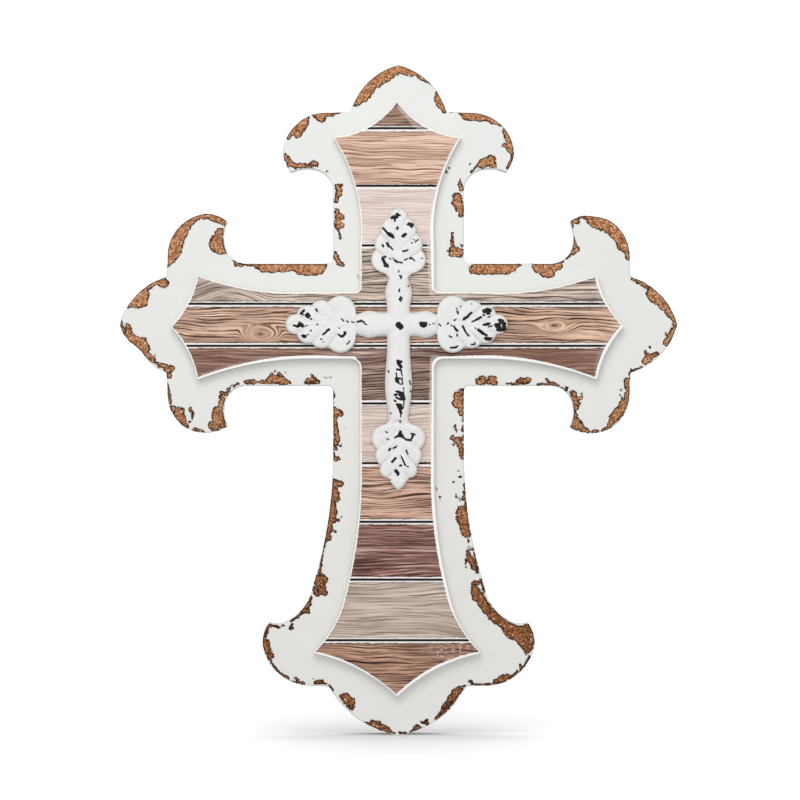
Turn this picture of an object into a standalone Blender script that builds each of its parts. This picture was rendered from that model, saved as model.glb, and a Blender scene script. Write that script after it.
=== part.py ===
"""Wall cross in three layers: a painted fibreboard cross with leaf-shaped ends, a thinner cross raised on
its front, which carries a print of planks, and a small cast metal cross with a lobed leaf at each end.

Metres, +Z up, the front facing -Y. The origin is on the flat back, at the point that hangs on the wall.
Outlines are worked out from the middle of the crossing, as distances along an arm and across it.
"""

import math

import bmesh
import bpy
from mathutils import Matrix, Vector

NAME = "wall_cross"

# Where the cross hangs, on its back, above the middle of the crossing
HANG_ABOVE_CROSSING = 0.095

# Base board: how far each arm reaches from the middle of the crossing, and half of each arm's width
REACH_TOP = 0.1396
REACH_SIDE = 0.1498
REACH_FOOT = 0.2205
HALF_SHAFT = 0.0352
HALF_ARM = 0.0329
BOARD_THICKNESS = 0.012
BOARD_EASE = 0.0009
BOARD_CORNER = 0.0015

# The three upper leaf ends. Each place is (back from the tip, out from the arm's edge), and the notch between
# a curl and the middle lobe is set out from the axis. The rises are those of the arcs from place to place.
LEAF_NECK = (0.0680, 0.0)
LEAF_THROAT = (0.0560, 0.0114)
LEAF_BEAK = (0.0580, 0.0226)
LEAF_CROWN = (0.0470, 0.0269)
LEAF_CHEEK = (0.0256, 0.0039)
LEAF_NOTCH_BACK = 0.0253
LEAF_NOTCH_OUT = 0.0258
LEAF_RISES = (-0.0033, -0.0010, 0.0010, 0.0062, 0.0)
LEAF_TIP_RISE = 0.0049

# The foot's leaf end, wider, on a shaft that flares down to it. The same kinds of place.
FOOT_FLARE_LENGTH = 0.0700
FOOT_NECK = (0.0799, 0.0110)
FOOT_THROAT = (0.0600, 0.0270)
FOOT_BEAK = (0.0606, 0.0343)
FOOT_CROWN = (0.0485, 0.0379)
FOOT_CHEEK = (0.0266, 0.0112)
FOOT_NOTCH_BACK = 0.0262
FOOT_NOTCH_OUT = 0.0373
FOOT_FLARE_RISE = -0.0027
FOOT_RISES = (-0.0033, -0.0006, 0.0012, 0.0064, 0.0)
FOOT_TIP_RISE = 0.0052

# Raised panel: a border of board shows beside its shaft and arms, and a margin beyond each of its points
BORDER = 0.0160
MARGIN_TOP = 0.0196
MARGIN_SIDE = 0.0284
MARGIN_FOOT = 0.0212
PANEL_THICKNESS = 0.006
PANEL_EASE = 0.0008
PANEL_CORNER = 0.0024
PANEL_SHIFT = -0.0007
PANEL_SIDE_DROP = 0.0011
# Half of each flared end: the corner's place (back from the point, out from the axis), the hollow side's
# length and its rise, and the rise of the hollow way from the corner to the point
PANEL_TOP = (0.0198, 0.0346, 0.0575, -0.0050, -0.0045)
PANEL_SIDE_UPPER = (0.0144, 0.0260, 0.0620, -0.0034, -0.0024)
PANEL_SIDE_LOWER = (0.0144, 0.0290, 0.0620, -0.0030, -0.0024)
PANEL_FOOT = (0.0234, 0.0455, 0.0300, -0.0026, -0.0037)
# The long flare above the foot's end: its length, how much it adds to the half width, and its rise
PANEL_FOOT_FLARE = (0.0620, 0.0088, -0.0019)

# Metal cross: how far its leaves reach from its middle
METAL_TOP = 0.0622
METAL_LEFT = 0.0606
METAL_RIGHT = 0.0585
METAL_FOOT = 0.0891
METAL_BACK_TO_EDGE = 0.0009
METAL_HALF_CROSSING = 0.0062
METAL_HALF_SWELL = 0.0078
METAL_HALF_NECK = 0.0053
METAL_ARM_RELIEF = 0.0034
METAL_BOSS_RADIUS = 0.0068
METAL_BOSS_RELIEF = 0.0042
METAL_SWELL_LEAN = 1.3
METAL_LEAF = 0.0376
METAL_RIB_LENGTH = 0.0316
METAL_RIB_HALF = 0.0024
METAL_RIB_RELIEF = 0.0036
# The blade under the lobes: (middle along from the neck, half length, half width, relief)
METAL_BLADE = (0.0165, 0.0155, 0.0100, 0.0023)
# Lobes of one leaf: (middle along from the neck, middle across, half length, half width, relief, lean)
METAL_LOBES = (
    (0.0082, 0.0084, 0.0074, 0.0058, 0.0030, 78),
    (0.0176, 0.0070, 0.0066, 0.0049, 0.0028, 66),
    (0.0262, 0.0050, 0.0055, 0.0041, 0.0026, 54),
)
METAL_TIP_LOBE = (0.0318, 0.0, 0.0060, 0.0046, 0.0030, 0)

# Touching pieces keep this gap
GAP = 0.0003

# A cutter runs this far past what it cuts
CUTTER_MARGIN = 0.005

# How far a facet may stand off its arc, and how many pieces a rounded corner and an eased arris have
FACET_ERROR = 0.00012
CORNER_STEPS = 3
EASE_STEPS = 2
# Facets of the metal cross: along an arm, around an arm or a lobe, over a lobe, around the boss and over it
ARM_STEPS = 8
ROUND_STEPS = 12
LOBE_RINGS = 6
BOSS_STEPS = 20
BOSS_RINGS = 10
# A turn of the outline over the first angle is a corner, and a fold over the second is shaded sharp
CORNER_ANGLE = math.radians(25)
SHARP_ANGLE = math.radians(35)
WELD = 1e-6


def clear_scene():
    for obj in list(bpy.data.objects):
        bpy.data.objects.remove(obj, do_unlink=True)


def new_collection(name):
    collection = bpy.data.collections.new(name)
    bpy.context.scene.collection.children.link(collection)
    return collection


def new_material(name, colour, roughness, metallic=0.0):
    material = bpy.data.materials.new(name)
    material.use_nodes = True
    shader = material.node_tree.nodes["Principled BSDF"]
    shader.inputs["Base Color"].default_value = (*colour, 1.0)
    shader.inputs["Roughness"].default_value = roughness
    shader.inputs["Metallic"].default_value = metallic
    material.diffuse_color = (*colour, 1.0)
    return material


def arc(start, end, rise):
    """Points after start up to end, on the round arc that stands rise to the left of the straight way."""
    start, end = Vector(start), Vector(end)
    chord = end - start
    if rise == 0:
        return [end]
    half_angle = 2 * math.atan(2 * abs(rise) / chord.length)
    radius = chord.length / 2 / math.sin(half_angle)
    side = math.copysign(1, rise)
    left = Vector((-chord.y, chord.x)).normalized()
    centre = (start + end) / 2 - side * radius * math.cos(half_angle) * left
    steps = max(2, math.ceil(half_angle / math.acos(1 - FACET_ERROR / radius)))
    first = math.atan2(*(start - centre).yx)
    turns = (first - side * 2 * half_angle * step / steps for step in range(1, steps))
    return [centre + radius * Vector((math.cos(turn), math.sin(turn))) for turn in turns] + [end]


def along(start, stops):
    """Points of a chain of arcs from start through stops, each (point, rise)."""
    points = [Vector(start)]
    for point, rise in stops:
        points += arc(points[-1], point, rise)
    return points


def leaf_end(reach, half_width, places, notch, rises, tip_rise):
    """Half of a leaf end from its neck to its tip, as (along the arm, across it)."""
    stops = [(reach - back, half_width + out) for back, out in places]
    stops += [(reach - notch[0], notch[1]), (reach, 0)]
    return along(stops[0], zip(stops[1:], (*rises, tip_rise)))


def upper_end(reach, half_width):
    places = (LEAF_NECK, LEAF_THROAT, LEAF_BEAK, LEAF_CROWN, LEAF_CHEEK)
    return leaf_end(reach, half_width, places, (LEAF_NOTCH_BACK, LEAF_NOTCH_OUT), LEAF_RISES, LEAF_TIP_RISE)


def foot_end(reach, half_width):
    places = (FOOT_NECK, FOOT_THROAT, FOOT_BEAK, FOOT_CROWN, FOOT_CHEEK)
    notch = (FOOT_NOTCH_BACK, FOOT_NOTCH_OUT)
    end = leaf_end(reach, half_width, places, notch, FOOT_RISES, FOOT_TIP_RISE)
    flare_start = Vector((end[0].x - FOOT_FLARE_LENGTH, half_width))
    return [flare_start] + arc(flare_start, end[0], FOOT_FLARE_RISE) + end[1:]


def flared_end(reach, half_width, end, point_out=0.0):
    """Half of a flared panel end: a hollow side out to a corner, and a hollow way on to the point."""
    back, half_corner, flare_length, flare_rise, end_rise = end
    corner = (reach - back, half_corner)
    start = (corner[0] - flare_length, half_width)
    return along(start, ((corner, flare_rise), ((reach, point_out), end_rise)))


def flared_foot(reach, half_width):
    """The foot's half end: a long flare down the shaft first, and then a short side out to the corner."""
    length, growth, rise = PANEL_FOOT_FLARE
    end = flared_end(reach, half_width + growth, PANEL_FOOT)
    start = Vector((end[0].x - length, half_width))
    return [start] + arc(start, end[0], rise) + end[1:]


def cross_outline(top, upper_side, lower_side, foot, half_shaft, half_arm):
    """The whole outline: half ends turned into place on the right, and their mirror image on the left."""
    right = [Vector((point.y, point.x)) for point in reversed(top)]
    right.append(Vector((half_shaft, half_arm)))
    right += upper_side
    right += [Vector((point.x, -point.y)) for point in reversed(lower_side[:-1])]
    right.append(Vector((half_shaft, -half_arm)))
    right += [Vector((point.y, -point.x)) for point in foot]
    left = [Vector((-point.x, point.y)) for point in reversed(right[1:-1])]
    return right + left


def rounded(points, radius):
    """The outline with each sharp corner replaced by a small curve that starts up to radius from it."""
    result = []
    for index, point in enumerate(points):
        before = points[index - 1] - point
        after = points[(index + 1) % len(points)] - point
        if math.pi - before.angle(after) < CORNER_ANGLE:
            result.append(point)
            continue
        start = point + before.normalized() * min(radius, before.length / 2)
        end = point + after.normalized() * min(radius, after.length / 2)
        for step in range(CORNER_STEPS + 1):
            share = step / CORNER_STEPS
            result.append((1 - share) ** 2 * start + 2 * share * (1 - share) * point + share**2 * end)
    return result


def plate(name, outline, thickness, ease, back, collection, material):
    """A flat board of this outline, its back at this depth, with its front arris eased."""
    curve = bpy.data.curves.new(name, "CURVE")
    curve.dimensions = "2D"
    curve.fill_mode = "BOTH"
    curve.extrude = thickness / 2
    spline = curve.splines.new("POLY")
    spline.points.add(len(outline) - 1)
    for point, place in zip(spline.points, outline):
        point.co = (place.x, place.y, 0, 1)
    spline.use_cyclic_u = True
    flat = bpy.data.objects.new(name + "_curve", curve)
    collection.objects.link(flat)
    bpy.context.view_layer.update()
    mesh = bpy.data.meshes.new_from_object(flat.evaluated_get(bpy.context.evaluated_depsgraph_get()))
    bpy.data.objects.remove(flat, do_unlink=True)

    body = bmesh.new()
    body.from_mesh(mesh)
    bmesh.ops.remove_doubles(body, verts=body.verts, dist=WELD)
    front = [
        edge
        for edge in body.edges
        if all(vertex.co.z > thickness / 4 for vertex in edge.verts)
        and any(abs(face.normal.z) < 0.5 for face in edge.link_faces)
    ]
    bmesh.ops.bevel(body, geom=front, offset=ease, segments=EASE_STEPS, profile=0.5, affect="EDGES")
    body.to_mesh(mesh)
    body.free()
    return placed(name, mesh, back + thickness / 2, collection, material)


def placed(name, mesh, depth, collection, material):
    """The object of a mesh drawn flat around the crossing, stood up to face -Y at this depth."""
    obj = bpy.data.objects.new(name, mesh)
    obj.rotation_euler = (math.radians(90), 0, 0)
    obj.location = (0, -depth, -HANG_ABOVE_CROSSING)
    obj.data.materials.clear()
    obj.data.materials.append(material)
    collection.objects.link(obj)
    obj.data.shade_smooth()
    obj.data.set_sharp_from_angle(angle=SHARP_ANGLE)
    return obj


def base_board(collection):
    outline = cross_outline(
        upper_end(REACH_TOP, HALF_SHAFT),
        upper_end(REACH_SIDE, HALF_ARM),
        upper_end(REACH_SIDE, HALF_ARM),
        foot_end(REACH_FOOT, HALF_SHAFT),
        HALF_SHAFT,
        HALF_ARM,
    )
    material = new_material("distressed_white_paint", (0.84, 0.84, 0.80), 0.62)
    outline = rounded(outline, BOARD_CORNER)
    return plate("base_board", outline, BOARD_THICKNESS, BOARD_EASE, 0, collection, material)


def raised_panel(collection):
    half_shaft = HALF_SHAFT - BORDER
    half_arm = HALF_ARM - BORDER
    outline = cross_outline(
        flared_end(REACH_TOP - MARGIN_TOP, half_shaft, PANEL_TOP),
        flared_end(REACH_SIDE - MARGIN_SIDE, half_arm, PANEL_SIDE_UPPER, -PANEL_SIDE_DROP),
        flared_end(REACH_SIDE - MARGIN_SIDE, half_arm, PANEL_SIDE_LOWER, PANEL_SIDE_DROP),
        flared_foot(REACH_FOOT - MARGIN_FOOT, half_shaft),
        half_shaft,
        half_arm,
    )
    material = new_material("plank_print", (0.42, 0.27, 0.19), 0.55)
    back = BOARD_THICKNESS + GAP
    outline = rounded(outline, PANEL_CORNER)
    obj = plate("raised_panel", outline, PANEL_THICKNESS, PANEL_EASE, back, collection, material)
    obj.location.x = PANEL_SHIFT
    return obj


def helper(name, body, collection):
    """A hidden object of this bmesh, which a Boolean uses."""
    mesh = bpy.data.meshes.new(name)
    bmesh.ops.recalc_face_normals(body, faces=body.faces)
    body.to_mesh(mesh)
    body.free()
    obj = bpy.data.objects.new(name, mesh)
    obj.hide_render = True
    obj.display_type = "WIRE"
    collection.objects.link(obj)
    return obj


def ball(place, half_sizes, turn, steps, rings):
    """A bmesh ball with these half sizes, its middle level with the metal's edge, turned in the flat."""
    body = bmesh.new()
    size = Matrix.Diagonal((*half_sizes, 1))
    matrix = Matrix.Translation((*place, METAL_BACK_TO_EDGE)) @ Matrix.Rotation(turn, 4, "Z") @ size
    bmesh.ops.create_uvsphere(body, u_segments=steps, v_segments=rings, radius=1, matrix=matrix)
    return body


def dome(name, place, half_sizes, turn, collection):
    return helper(name, ball(place, half_sizes, turn, ROUND_STEPS, LOBE_RINGS), collection)


def metal_arm(name, reach, turn, collection):
    """A flattened turned arm: from the crossing it swells, draws in to the neck and ends in the leaf."""
    length = reach - METAL_LEAF
    body = bmesh.new()
    profile = [body.verts.new((-METAL_HALF_CROSSING / 2, 0, 0))]
    for step in range(ARM_STEPS + 1):
        share = step / ARM_STEPS
        swell = math.sin(math.pi * share**METAL_SWELL_LEAN) ** 2
        taper = METAL_HALF_CROSSING + (METAL_HALF_NECK - METAL_HALF_CROSSING) * share
        half = taper + (METAL_HALF_SWELL - METAL_HALF_CROSSING) * swell
        profile.append(body.verts.new((length * share, half, 0)))
    profile.append(body.verts.new((length + METAL_HALF_NECK, METAL_HALF_NECK, 0)))
    profile.append(body.verts.new((length + 2 * METAL_HALF_NECK, 0, 0)))
    edges = [body.edges.new(pair) for pair in zip(profile, profile[1:])]
    bmesh.ops.spin(
        body,
        geom=profile + edges,
        cent=(0, 0, 0),
        axis=(1, 0, 0),
        angle=2 * math.pi,
        steps=ROUND_STEPS,
        use_merge=True,
    )
    bmesh.ops.remove_doubles(body, verts=body.verts, dist=WELD)
    flat = Matrix.Diagonal((1, 1, METAL_ARM_RELIEF / METAL_HALF_CROSSING, 1))
    matrix = Matrix.Translation((0, 0, METAL_BACK_TO_EDGE)) @ Matrix.Rotation(turn, 4, "Z") @ flat
    bmesh.ops.transform(body, matrix=matrix, verts=body.verts)
    return helper(name, body, collection)


def metal_leaf(name, reach, turn, collection):
    """One leaf: pairs of lobes that lean out from a midrib, and a lobe at the tip."""
    neck = reach - METAL_LEAF
    turned = Matrix.Rotation(turn, 2)
    lobes = [(*METAL_TIP_LOBE, 1)]
    lobes += [(*lobe, side) for lobe in METAL_LOBES for side in (-1, 1)]
    for index, (out, across, half_length, half_width, relief, lean, side) in enumerate(lobes):
        place = turned @ Vector((neck + out, side * across))
        angle = turn + side * math.radians(lean)
        dome(f"{name}_lobe_{index}", place, (half_length, half_width, relief), angle, collection)
    half_rib = METAL_RIB_LENGTH / 2
    place = turned @ Vector((neck + half_rib, 0))
    dome(f"{name}_rib", place, (half_rib, METAL_RIB_HALF, METAL_RIB_RELIEF), turn, collection)
    middle, *half_sizes = METAL_BLADE
    dome(f"{name}_blade", turned @ Vector((neck + middle, 0)), half_sizes, turn, collection)


def metal_cross(collection, shapes, cutters):
    """Arms and leaves joined into one casting, cut flat at the back."""
    reaches = (METAL_RIGHT, METAL_TOP, METAL_LEFT, METAL_FOOT)
    for index, reach in enumerate(reaches):
        turn = math.radians(90 * index)
        metal_arm(f"metal_arm_{index}", reach, turn, shapes)
        metal_leaf(f"metal_leaf_{index}", reach, turn, shapes)

    half_sizes = (METAL_BOSS_RADIUS, METAL_BOSS_RADIUS, METAL_BOSS_RELIEF)
    body = ball((0, 0), half_sizes, 0, BOSS_STEPS, BOSS_RINGS)
    mesh = bpy.data.meshes.new("metal_cross")
    body.to_mesh(mesh)
    body.free()
    material = new_material("rubbed_white_metal", (0.86, 0.86, 0.83), 0.5)
    depth = BOARD_THICKNESS + GAP + PANEL_THICKNESS + GAP
    obj = placed("metal_cross", mesh, depth, collection, material)

    slab = bmesh.new()
    wide = 2 * (max(reaches) + CUTTER_MARGIN)
    thick = METAL_BOSS_RELIEF + CUTTER_MARGIN
    matrix = Matrix.Translation((0, 0, -thick / 2)) @ Matrix.Diagonal((wide, wide, thick, 1))
    bmesh.ops.create_cube(slab, size=1, matrix=matrix)
    behind = helper("behind_metal", slab, cutters)
    for part in (*shapes.objects, behind):
        part.matrix_world = obj.matrix_basis

    joined = obj.modifiers.new("join", "BOOLEAN")
    joined.operation = "UNION"
    joined.operand_type = "COLLECTION"
    joined.collection = shapes
    flat_back = obj.modifiers.new("flat_back", "BOOLEAN")
    flat_back.operation = "DIFFERENCE"
    flat_back.object = behind
    return obj


def main():
    clear_scene()
    parts = new_collection(NAME)
    shapes = new_collection("metal_shapes")
    cutters = new_collection("cutters")
    base_board(parts)
    raised_panel(parts)
    metal_cross(parts, shapes, cutters)


main()
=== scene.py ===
"""A wall cross: painted fibreboard with leaf-shaped ends, a raised panel that carries a print of planks, and
a small cast cross, painted white and rubbed through to black.

Shapes are worked out around the middle of the crossing, in millimetres, as complex numbers: x + 1j * z in the
plane of the wall, and along + 1j * across on one arm. Depth is counted from the back, towards the viewer.
"""

import bmesh
import bpy
import numpy as np
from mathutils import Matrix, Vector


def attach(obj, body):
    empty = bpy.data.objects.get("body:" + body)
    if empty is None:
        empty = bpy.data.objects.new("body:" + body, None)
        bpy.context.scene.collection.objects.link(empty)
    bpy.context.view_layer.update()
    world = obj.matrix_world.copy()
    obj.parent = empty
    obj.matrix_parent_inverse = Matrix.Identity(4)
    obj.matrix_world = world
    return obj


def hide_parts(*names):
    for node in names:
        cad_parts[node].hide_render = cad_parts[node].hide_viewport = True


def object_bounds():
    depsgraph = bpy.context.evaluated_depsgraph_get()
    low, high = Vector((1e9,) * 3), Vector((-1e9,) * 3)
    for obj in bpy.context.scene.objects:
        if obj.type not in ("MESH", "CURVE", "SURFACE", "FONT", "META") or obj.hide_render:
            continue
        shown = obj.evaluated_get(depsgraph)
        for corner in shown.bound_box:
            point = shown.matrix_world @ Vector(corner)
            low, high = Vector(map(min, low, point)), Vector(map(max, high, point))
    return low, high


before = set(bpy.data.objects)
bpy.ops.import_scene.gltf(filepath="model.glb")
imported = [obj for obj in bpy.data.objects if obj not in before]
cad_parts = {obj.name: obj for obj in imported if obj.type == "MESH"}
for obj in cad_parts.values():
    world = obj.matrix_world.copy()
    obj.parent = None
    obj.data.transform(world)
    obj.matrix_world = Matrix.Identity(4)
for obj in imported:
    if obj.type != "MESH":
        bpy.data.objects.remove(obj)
cad_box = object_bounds()

MM = 0.001
# One pixel of the photograph on the cross, in millimetres, and the pixel of the crossing's middle
PIXEL = 0.5365
CROSSING_PIXEL = 398.5 + 324.6j
FRAME_PIXELS = 800
# Edges that turn by more than this, in degrees, are shaded sharp
SHARP_TURN = 40

# Base board
REACH_TOP = 139.6
REACH_SIDE = 149.8
REACH_FOOT = 220.5
HALF_SHAFT = 35.2
HALF_ARM = 32.9
BOARD_THICKNESS = 12.0
BOARD_EASE = 0.9
BOARD_ROUNDING = 0.7
BOARD_CORNER = 2.5
BOARD_PACE = 0.64
CHIP_DEPTH = 0.4
# How far inside its corners the lines run to, the rows over the face from its edge, and the rows after them
BOARD_CORNER_BASE = 18.0
BOARD_FINE_ROWS = np.concatenate([np.arange(1.3, 9.6, 0.48), np.arange(10.2, 13.5, 0.8)])
BOARD_REST_ROWS = 4

# Heights from the frame: the middle of the crossing, in millimetres, and the foot, in metres
CROSSING = cad_box[1][2] / MM - REACH_TOP
FOOT = cad_box[0][2]

# Leaf-shaped ends. A row is one place of the outline: how far back from the tip, how far out from the axis,
# the rise of the arc that leads to it, and the point under the panel that its line runs to (back, out).
# In the first rows the way out starts from the arm's edge.
UPPER_EDGE_ROWS = 5
UPPER_LEAF = (
    (68.0, 0.0, 0.0, 66.0, 14.0),
    (56.0, 11.4, -3.3, 45.5, 35.0),
    (58.0, 22.6, -1.0, 46.0, 46.0),
    (47.0, 26.9, 1.0, 44.3, 47.0),
    (25.6, 3.9, 6.2, 39.0, 30.0),
    (25.3, 25.8, 0.0, 38.0, 22.0),
    (0.0, 0.0, 4.9, 34.0, 0.0),
)
FOOT_EDGE_ROWS = 6
FOOT_LEAF = (
    (149.9, 0.0, 0.0, 149.9, 16.0),
    (79.9, 11.0, -2.7, 72.0, 32.0),
    (60.0, 27.0, -3.3, 52.5, 51.0),
    (60.6, 34.3, -0.6, 54.0, 58.0),
    (48.5, 37.9, 1.2, 49.0, 61.0),
    (26.6, 11.2, 6.4, 41.0, 40.0),
    (26.2, 37.3, 0.0, 39.0, 33.0),
    (0.0, 0.0, 5.2, 28.0, 0.0),
)
# Where the cut strays from the even outline: a pixel of the photograph, the shift in pixels, and its spread
STRAYS = (
    (137, 354, 3.8, -4.2, 17),
    (212, 434, 0.3, -3.2, 22),
    (461, 695, -1.3, -1.5, 13),
    (593, 214, 0.0, 2.2, 14),
    (588, 434, 0.0, -2.4, 20),
)

# Raised panel, and the gap that stands in for the glue under it and under the cast cross
GAP = 0.3
PANEL_THICKNESS = 6.0
PANEL_EASE = 0.55
PANEL_ROUNDING = 0.8
PANEL_SHIFT = -0.7
PANEL_HALF_SHAFT = 19.8
PANEL_HALF_ARM_ABOVE = 17.4
PANEL_HALF_ARM_BELOW = 18.4
PANEL_REACH_TOP = 120.0
PANEL_REACH_SIDE = 121.4
PANEL_REACH_FOOT = 199.3
PANEL_CORNER_ABOVE = 2.5
PANEL_CORNER_BELOW = 5.0
PANEL_PACE = 0.7
PANEL_CORNER_BASE = 9.0
PANEL_FINE_ROWS = np.array([1.1, 1.5, 2.0, 2.6, 3.2, 3.8, 4.4, 5.0])
PANEL_REST_ROWS = 1
# Rows as above: back from the point, out from the axis, rise, and the point inside that the line runs to
PANEL_TOP = (
    (77.3, PANEL_HALF_SHAFT, 0.0, 77.3, 10.0),
    (19.8, 34.6, -5.0, 27.0, 25.0),
    (0.0, 0.0, -4.5, 12.0, 0.0),
)
PANEL_UPPER = (
    (76.4, PANEL_HALF_ARM_ABOVE, 0.0, 76.4, 8.0),
    (14.4, 26.6, -3.4, 21.0, 18.0),
    (0.0, -1.1, -2.4, 12.0, -1.1),
)
PANEL_LOWER = (
    (76.4, PANEL_HALF_ARM_BELOW, 0.0, 76.4, 8.0),
    (14.4, 29.8, -3.0, 21.0, 20.0),
    (0.0, 1.1, -2.4, 12.0, 1.1),
)
PANEL_FOOT = (
    (115.4, PANEL_HALF_SHAFT, 0.0, 115.4, 10.0),
    (53.4, 28.3, -1.9, 53.4, 19.0),
    (23.4, 45.5, -2.6, 29.0, 34.0),
    (0.0, 0.0, -3.7, 12.0, 0.0),
)

# Cast cross
METAL_EDGE = 0.9
METAL_HALF_CROSSING = 6.2
METAL_HALF_SWELL = 7.8
METAL_HALF_NECK = 5.3
METAL_LEAF = 37.6
METAL_ARM_RELIEF = 4.2
METAL_ROUNDING = 0.45
METAL_PACE = 0.42
METAL_ROWS = 40
# One half leaf, from the neck: along, across, rise, the place on the axis that its line runs to, and its lobe
METAL_SIDE_LEAF = (
    (0.0, METAL_HALF_NECK, 0.0, -1.0, 0),
    (14.6, 11.9, 6.5, 6.2, 1),
    (23.5, 10.0, 1.9, 13.9, 2),
    (31.3, 5.4, 2.2, 24.2, 3),
    (METAL_LEAF, 0.0, 1.9, METAL_LEAF, 3.5),
)
METAL_TOP_LEAF = (
    (0.0, METAL_HALF_NECK, 0.0, -1.0, 0),
    (3.2, 8.6, -0.3, 0.5, 0.2),
    (15.0, 12.2, 4.2, 6.2, 1),
    (23.9, 9.4, 1.9, 13.9, 2),
    (32.3, 5.0, 1.9, 24.2, 3),
    (METAL_LEAF, 0.0, 1.57, METAL_LEAF, 3.5),
)
METAL_FOOT_LEAF = (
    (0.0, METAL_HALF_NECK, 0.0, -1.0, 0),
    (2.4, 8.4, -0.3, 0.5, 0.2),
    (15.2, 11.4, 4.6, 6.2, 1),
    (23.9, 9.3, 2.1, 13.9, 2),
    (30.6, 5.6, 2.6, 24.2, 3),
    (METAL_LEAF, 0.0, 0.6, METAL_LEAF, 3.5),
)
# Each half arm, clockwise: its turn, its reach, its leaf, and whether it runs back from its tip
METAL_HALF_ARMS = (
    (1j, 62.2, METAL_TOP_LEAF, True),
    (1, 58.5, METAL_SIDE_LEAF, False),
    (1, 58.5, METAL_SIDE_LEAF, True),
    (-1j, 89.1, METAL_FOOT_LEAF, False),
    (-1j, 89.1, METAL_FOOT_LEAF, True),
    (-1, 60.6, METAL_SIDE_LEAF, False),
    (-1, 60.6, METAL_SIDE_LEAF, True),
    (1j, 62.2, METAL_TOP_LEAF, False),
)

# The print, from the top down: each plank's light colour, dark colour and strength of grain
PLANKS = (
    ((0.48, 0.30, 0.22), (0.045, 0.018, 0.013), 1.0),
    ((0.84, 0.60, 0.475), (0.28, 0.125, 0.080), 0.9),
    ((0.84, 0.72, 0.66), (0.55, 0.42, 0.375), 0.7),
    ((0.76, 0.61, 0.52), (0.048, 0.030, 0.024), 1.0),
    ((0.80, 0.53, 0.385), (0.060, 0.020, 0.010), 1.0),
    ((0.40, 0.26, 0.215), (0.032, 0.013, 0.010), 1.0),
    ((0.79, 0.66, 0.59), (0.40, 0.30, 0.265), 0.6),
    ((0.82, 0.525, 0.385), (0.055, 0.018, 0.010), 1.0),
    ((0.39, 0.20, 0.165), (0.040, 0.015, 0.015), 1.0),
    ((0.67, 0.56, 0.48), (0.22, 0.155, 0.125), 0.8),
    ((0.60, 0.345, 0.235), (0.035, 0.013, 0.008), 1.0),
)
# The joints between them: height over the crossing, and how far the white that edges the joint leans upward
JOINTS = (
    (104.9, -0.35),
    (74.1, -0.6),
    (42.2, -0.35),
    (11.0, -0.2),
    (-11.5, 0.15),
    (-42.3, 0.4),
    (-74.2, -0.5),
    (-105.6, 0.0),
    (-136.5, 0.1),
    (-168.9, -0.1),
)
# Knots: x, z, half width, half height, and how dark the middle is
KNOTS = ((-73.8, -5.2, 13.5, 6.2, 0.5), (83.5, -0.6, 15.0, 6.6, 0.12))
PRINT_HIGHLIGHT = (0.92, 0.80, 0.70)
PRINT_ARM_TINT = (0.27, 0.125, 0.078)
PRINT_SCRATCH = (0.86, 0.62, 0.62)
PRINT_HAZE = (0.76, 0.65, 0.62)
JOINT_WHITE = (0.90, 0.87, 0.85)
JOINT_BLACK = (0.003, 0.002, 0.002)
PANEL_WHITE = (0.95, 0.95, 0.93)
PANEL_BACK = (0.30, 0.16, 0.08)

# The board's finish. The bare board is warmer and lighter towards the top, which is painted light from above:
# each pair is its foot and its top.
BARE_DARK = ((0.115, 0.036, 0.012), (0.22, 0.077, 0.028))
BARE_LIGHT = ((0.42, 0.175, 0.075), (0.70, 0.36, 0.185))
BARE_FLECK = (0.78, 0.58, 0.42)
# The dark rim just inside a chip, painted shade along the paint's edge, and the arris in a chip
BARE_RIM_SHADE_AND_ARRIS = (0.030, 0.009, 0.004)
PAINT_MOTTLE = ((0.785, 0.778, 0.745), (0.80, 0.795, 0.765))
# The paint's colour at the top: painted light, lighter where light falls from above
PAINT_TOP_PAINTED_LIGHT = (0.80, 0.81, 0.785)

# The cast cross's finish
METAL_MOTTLE = ((0.80, 0.80, 0.785), (0.84, 0.835, 0.825))
METAL_SPECK = (0.12, 0.115, 0.11)
METAL_BLACK = (0.010, 0.009, 0.009)

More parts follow.
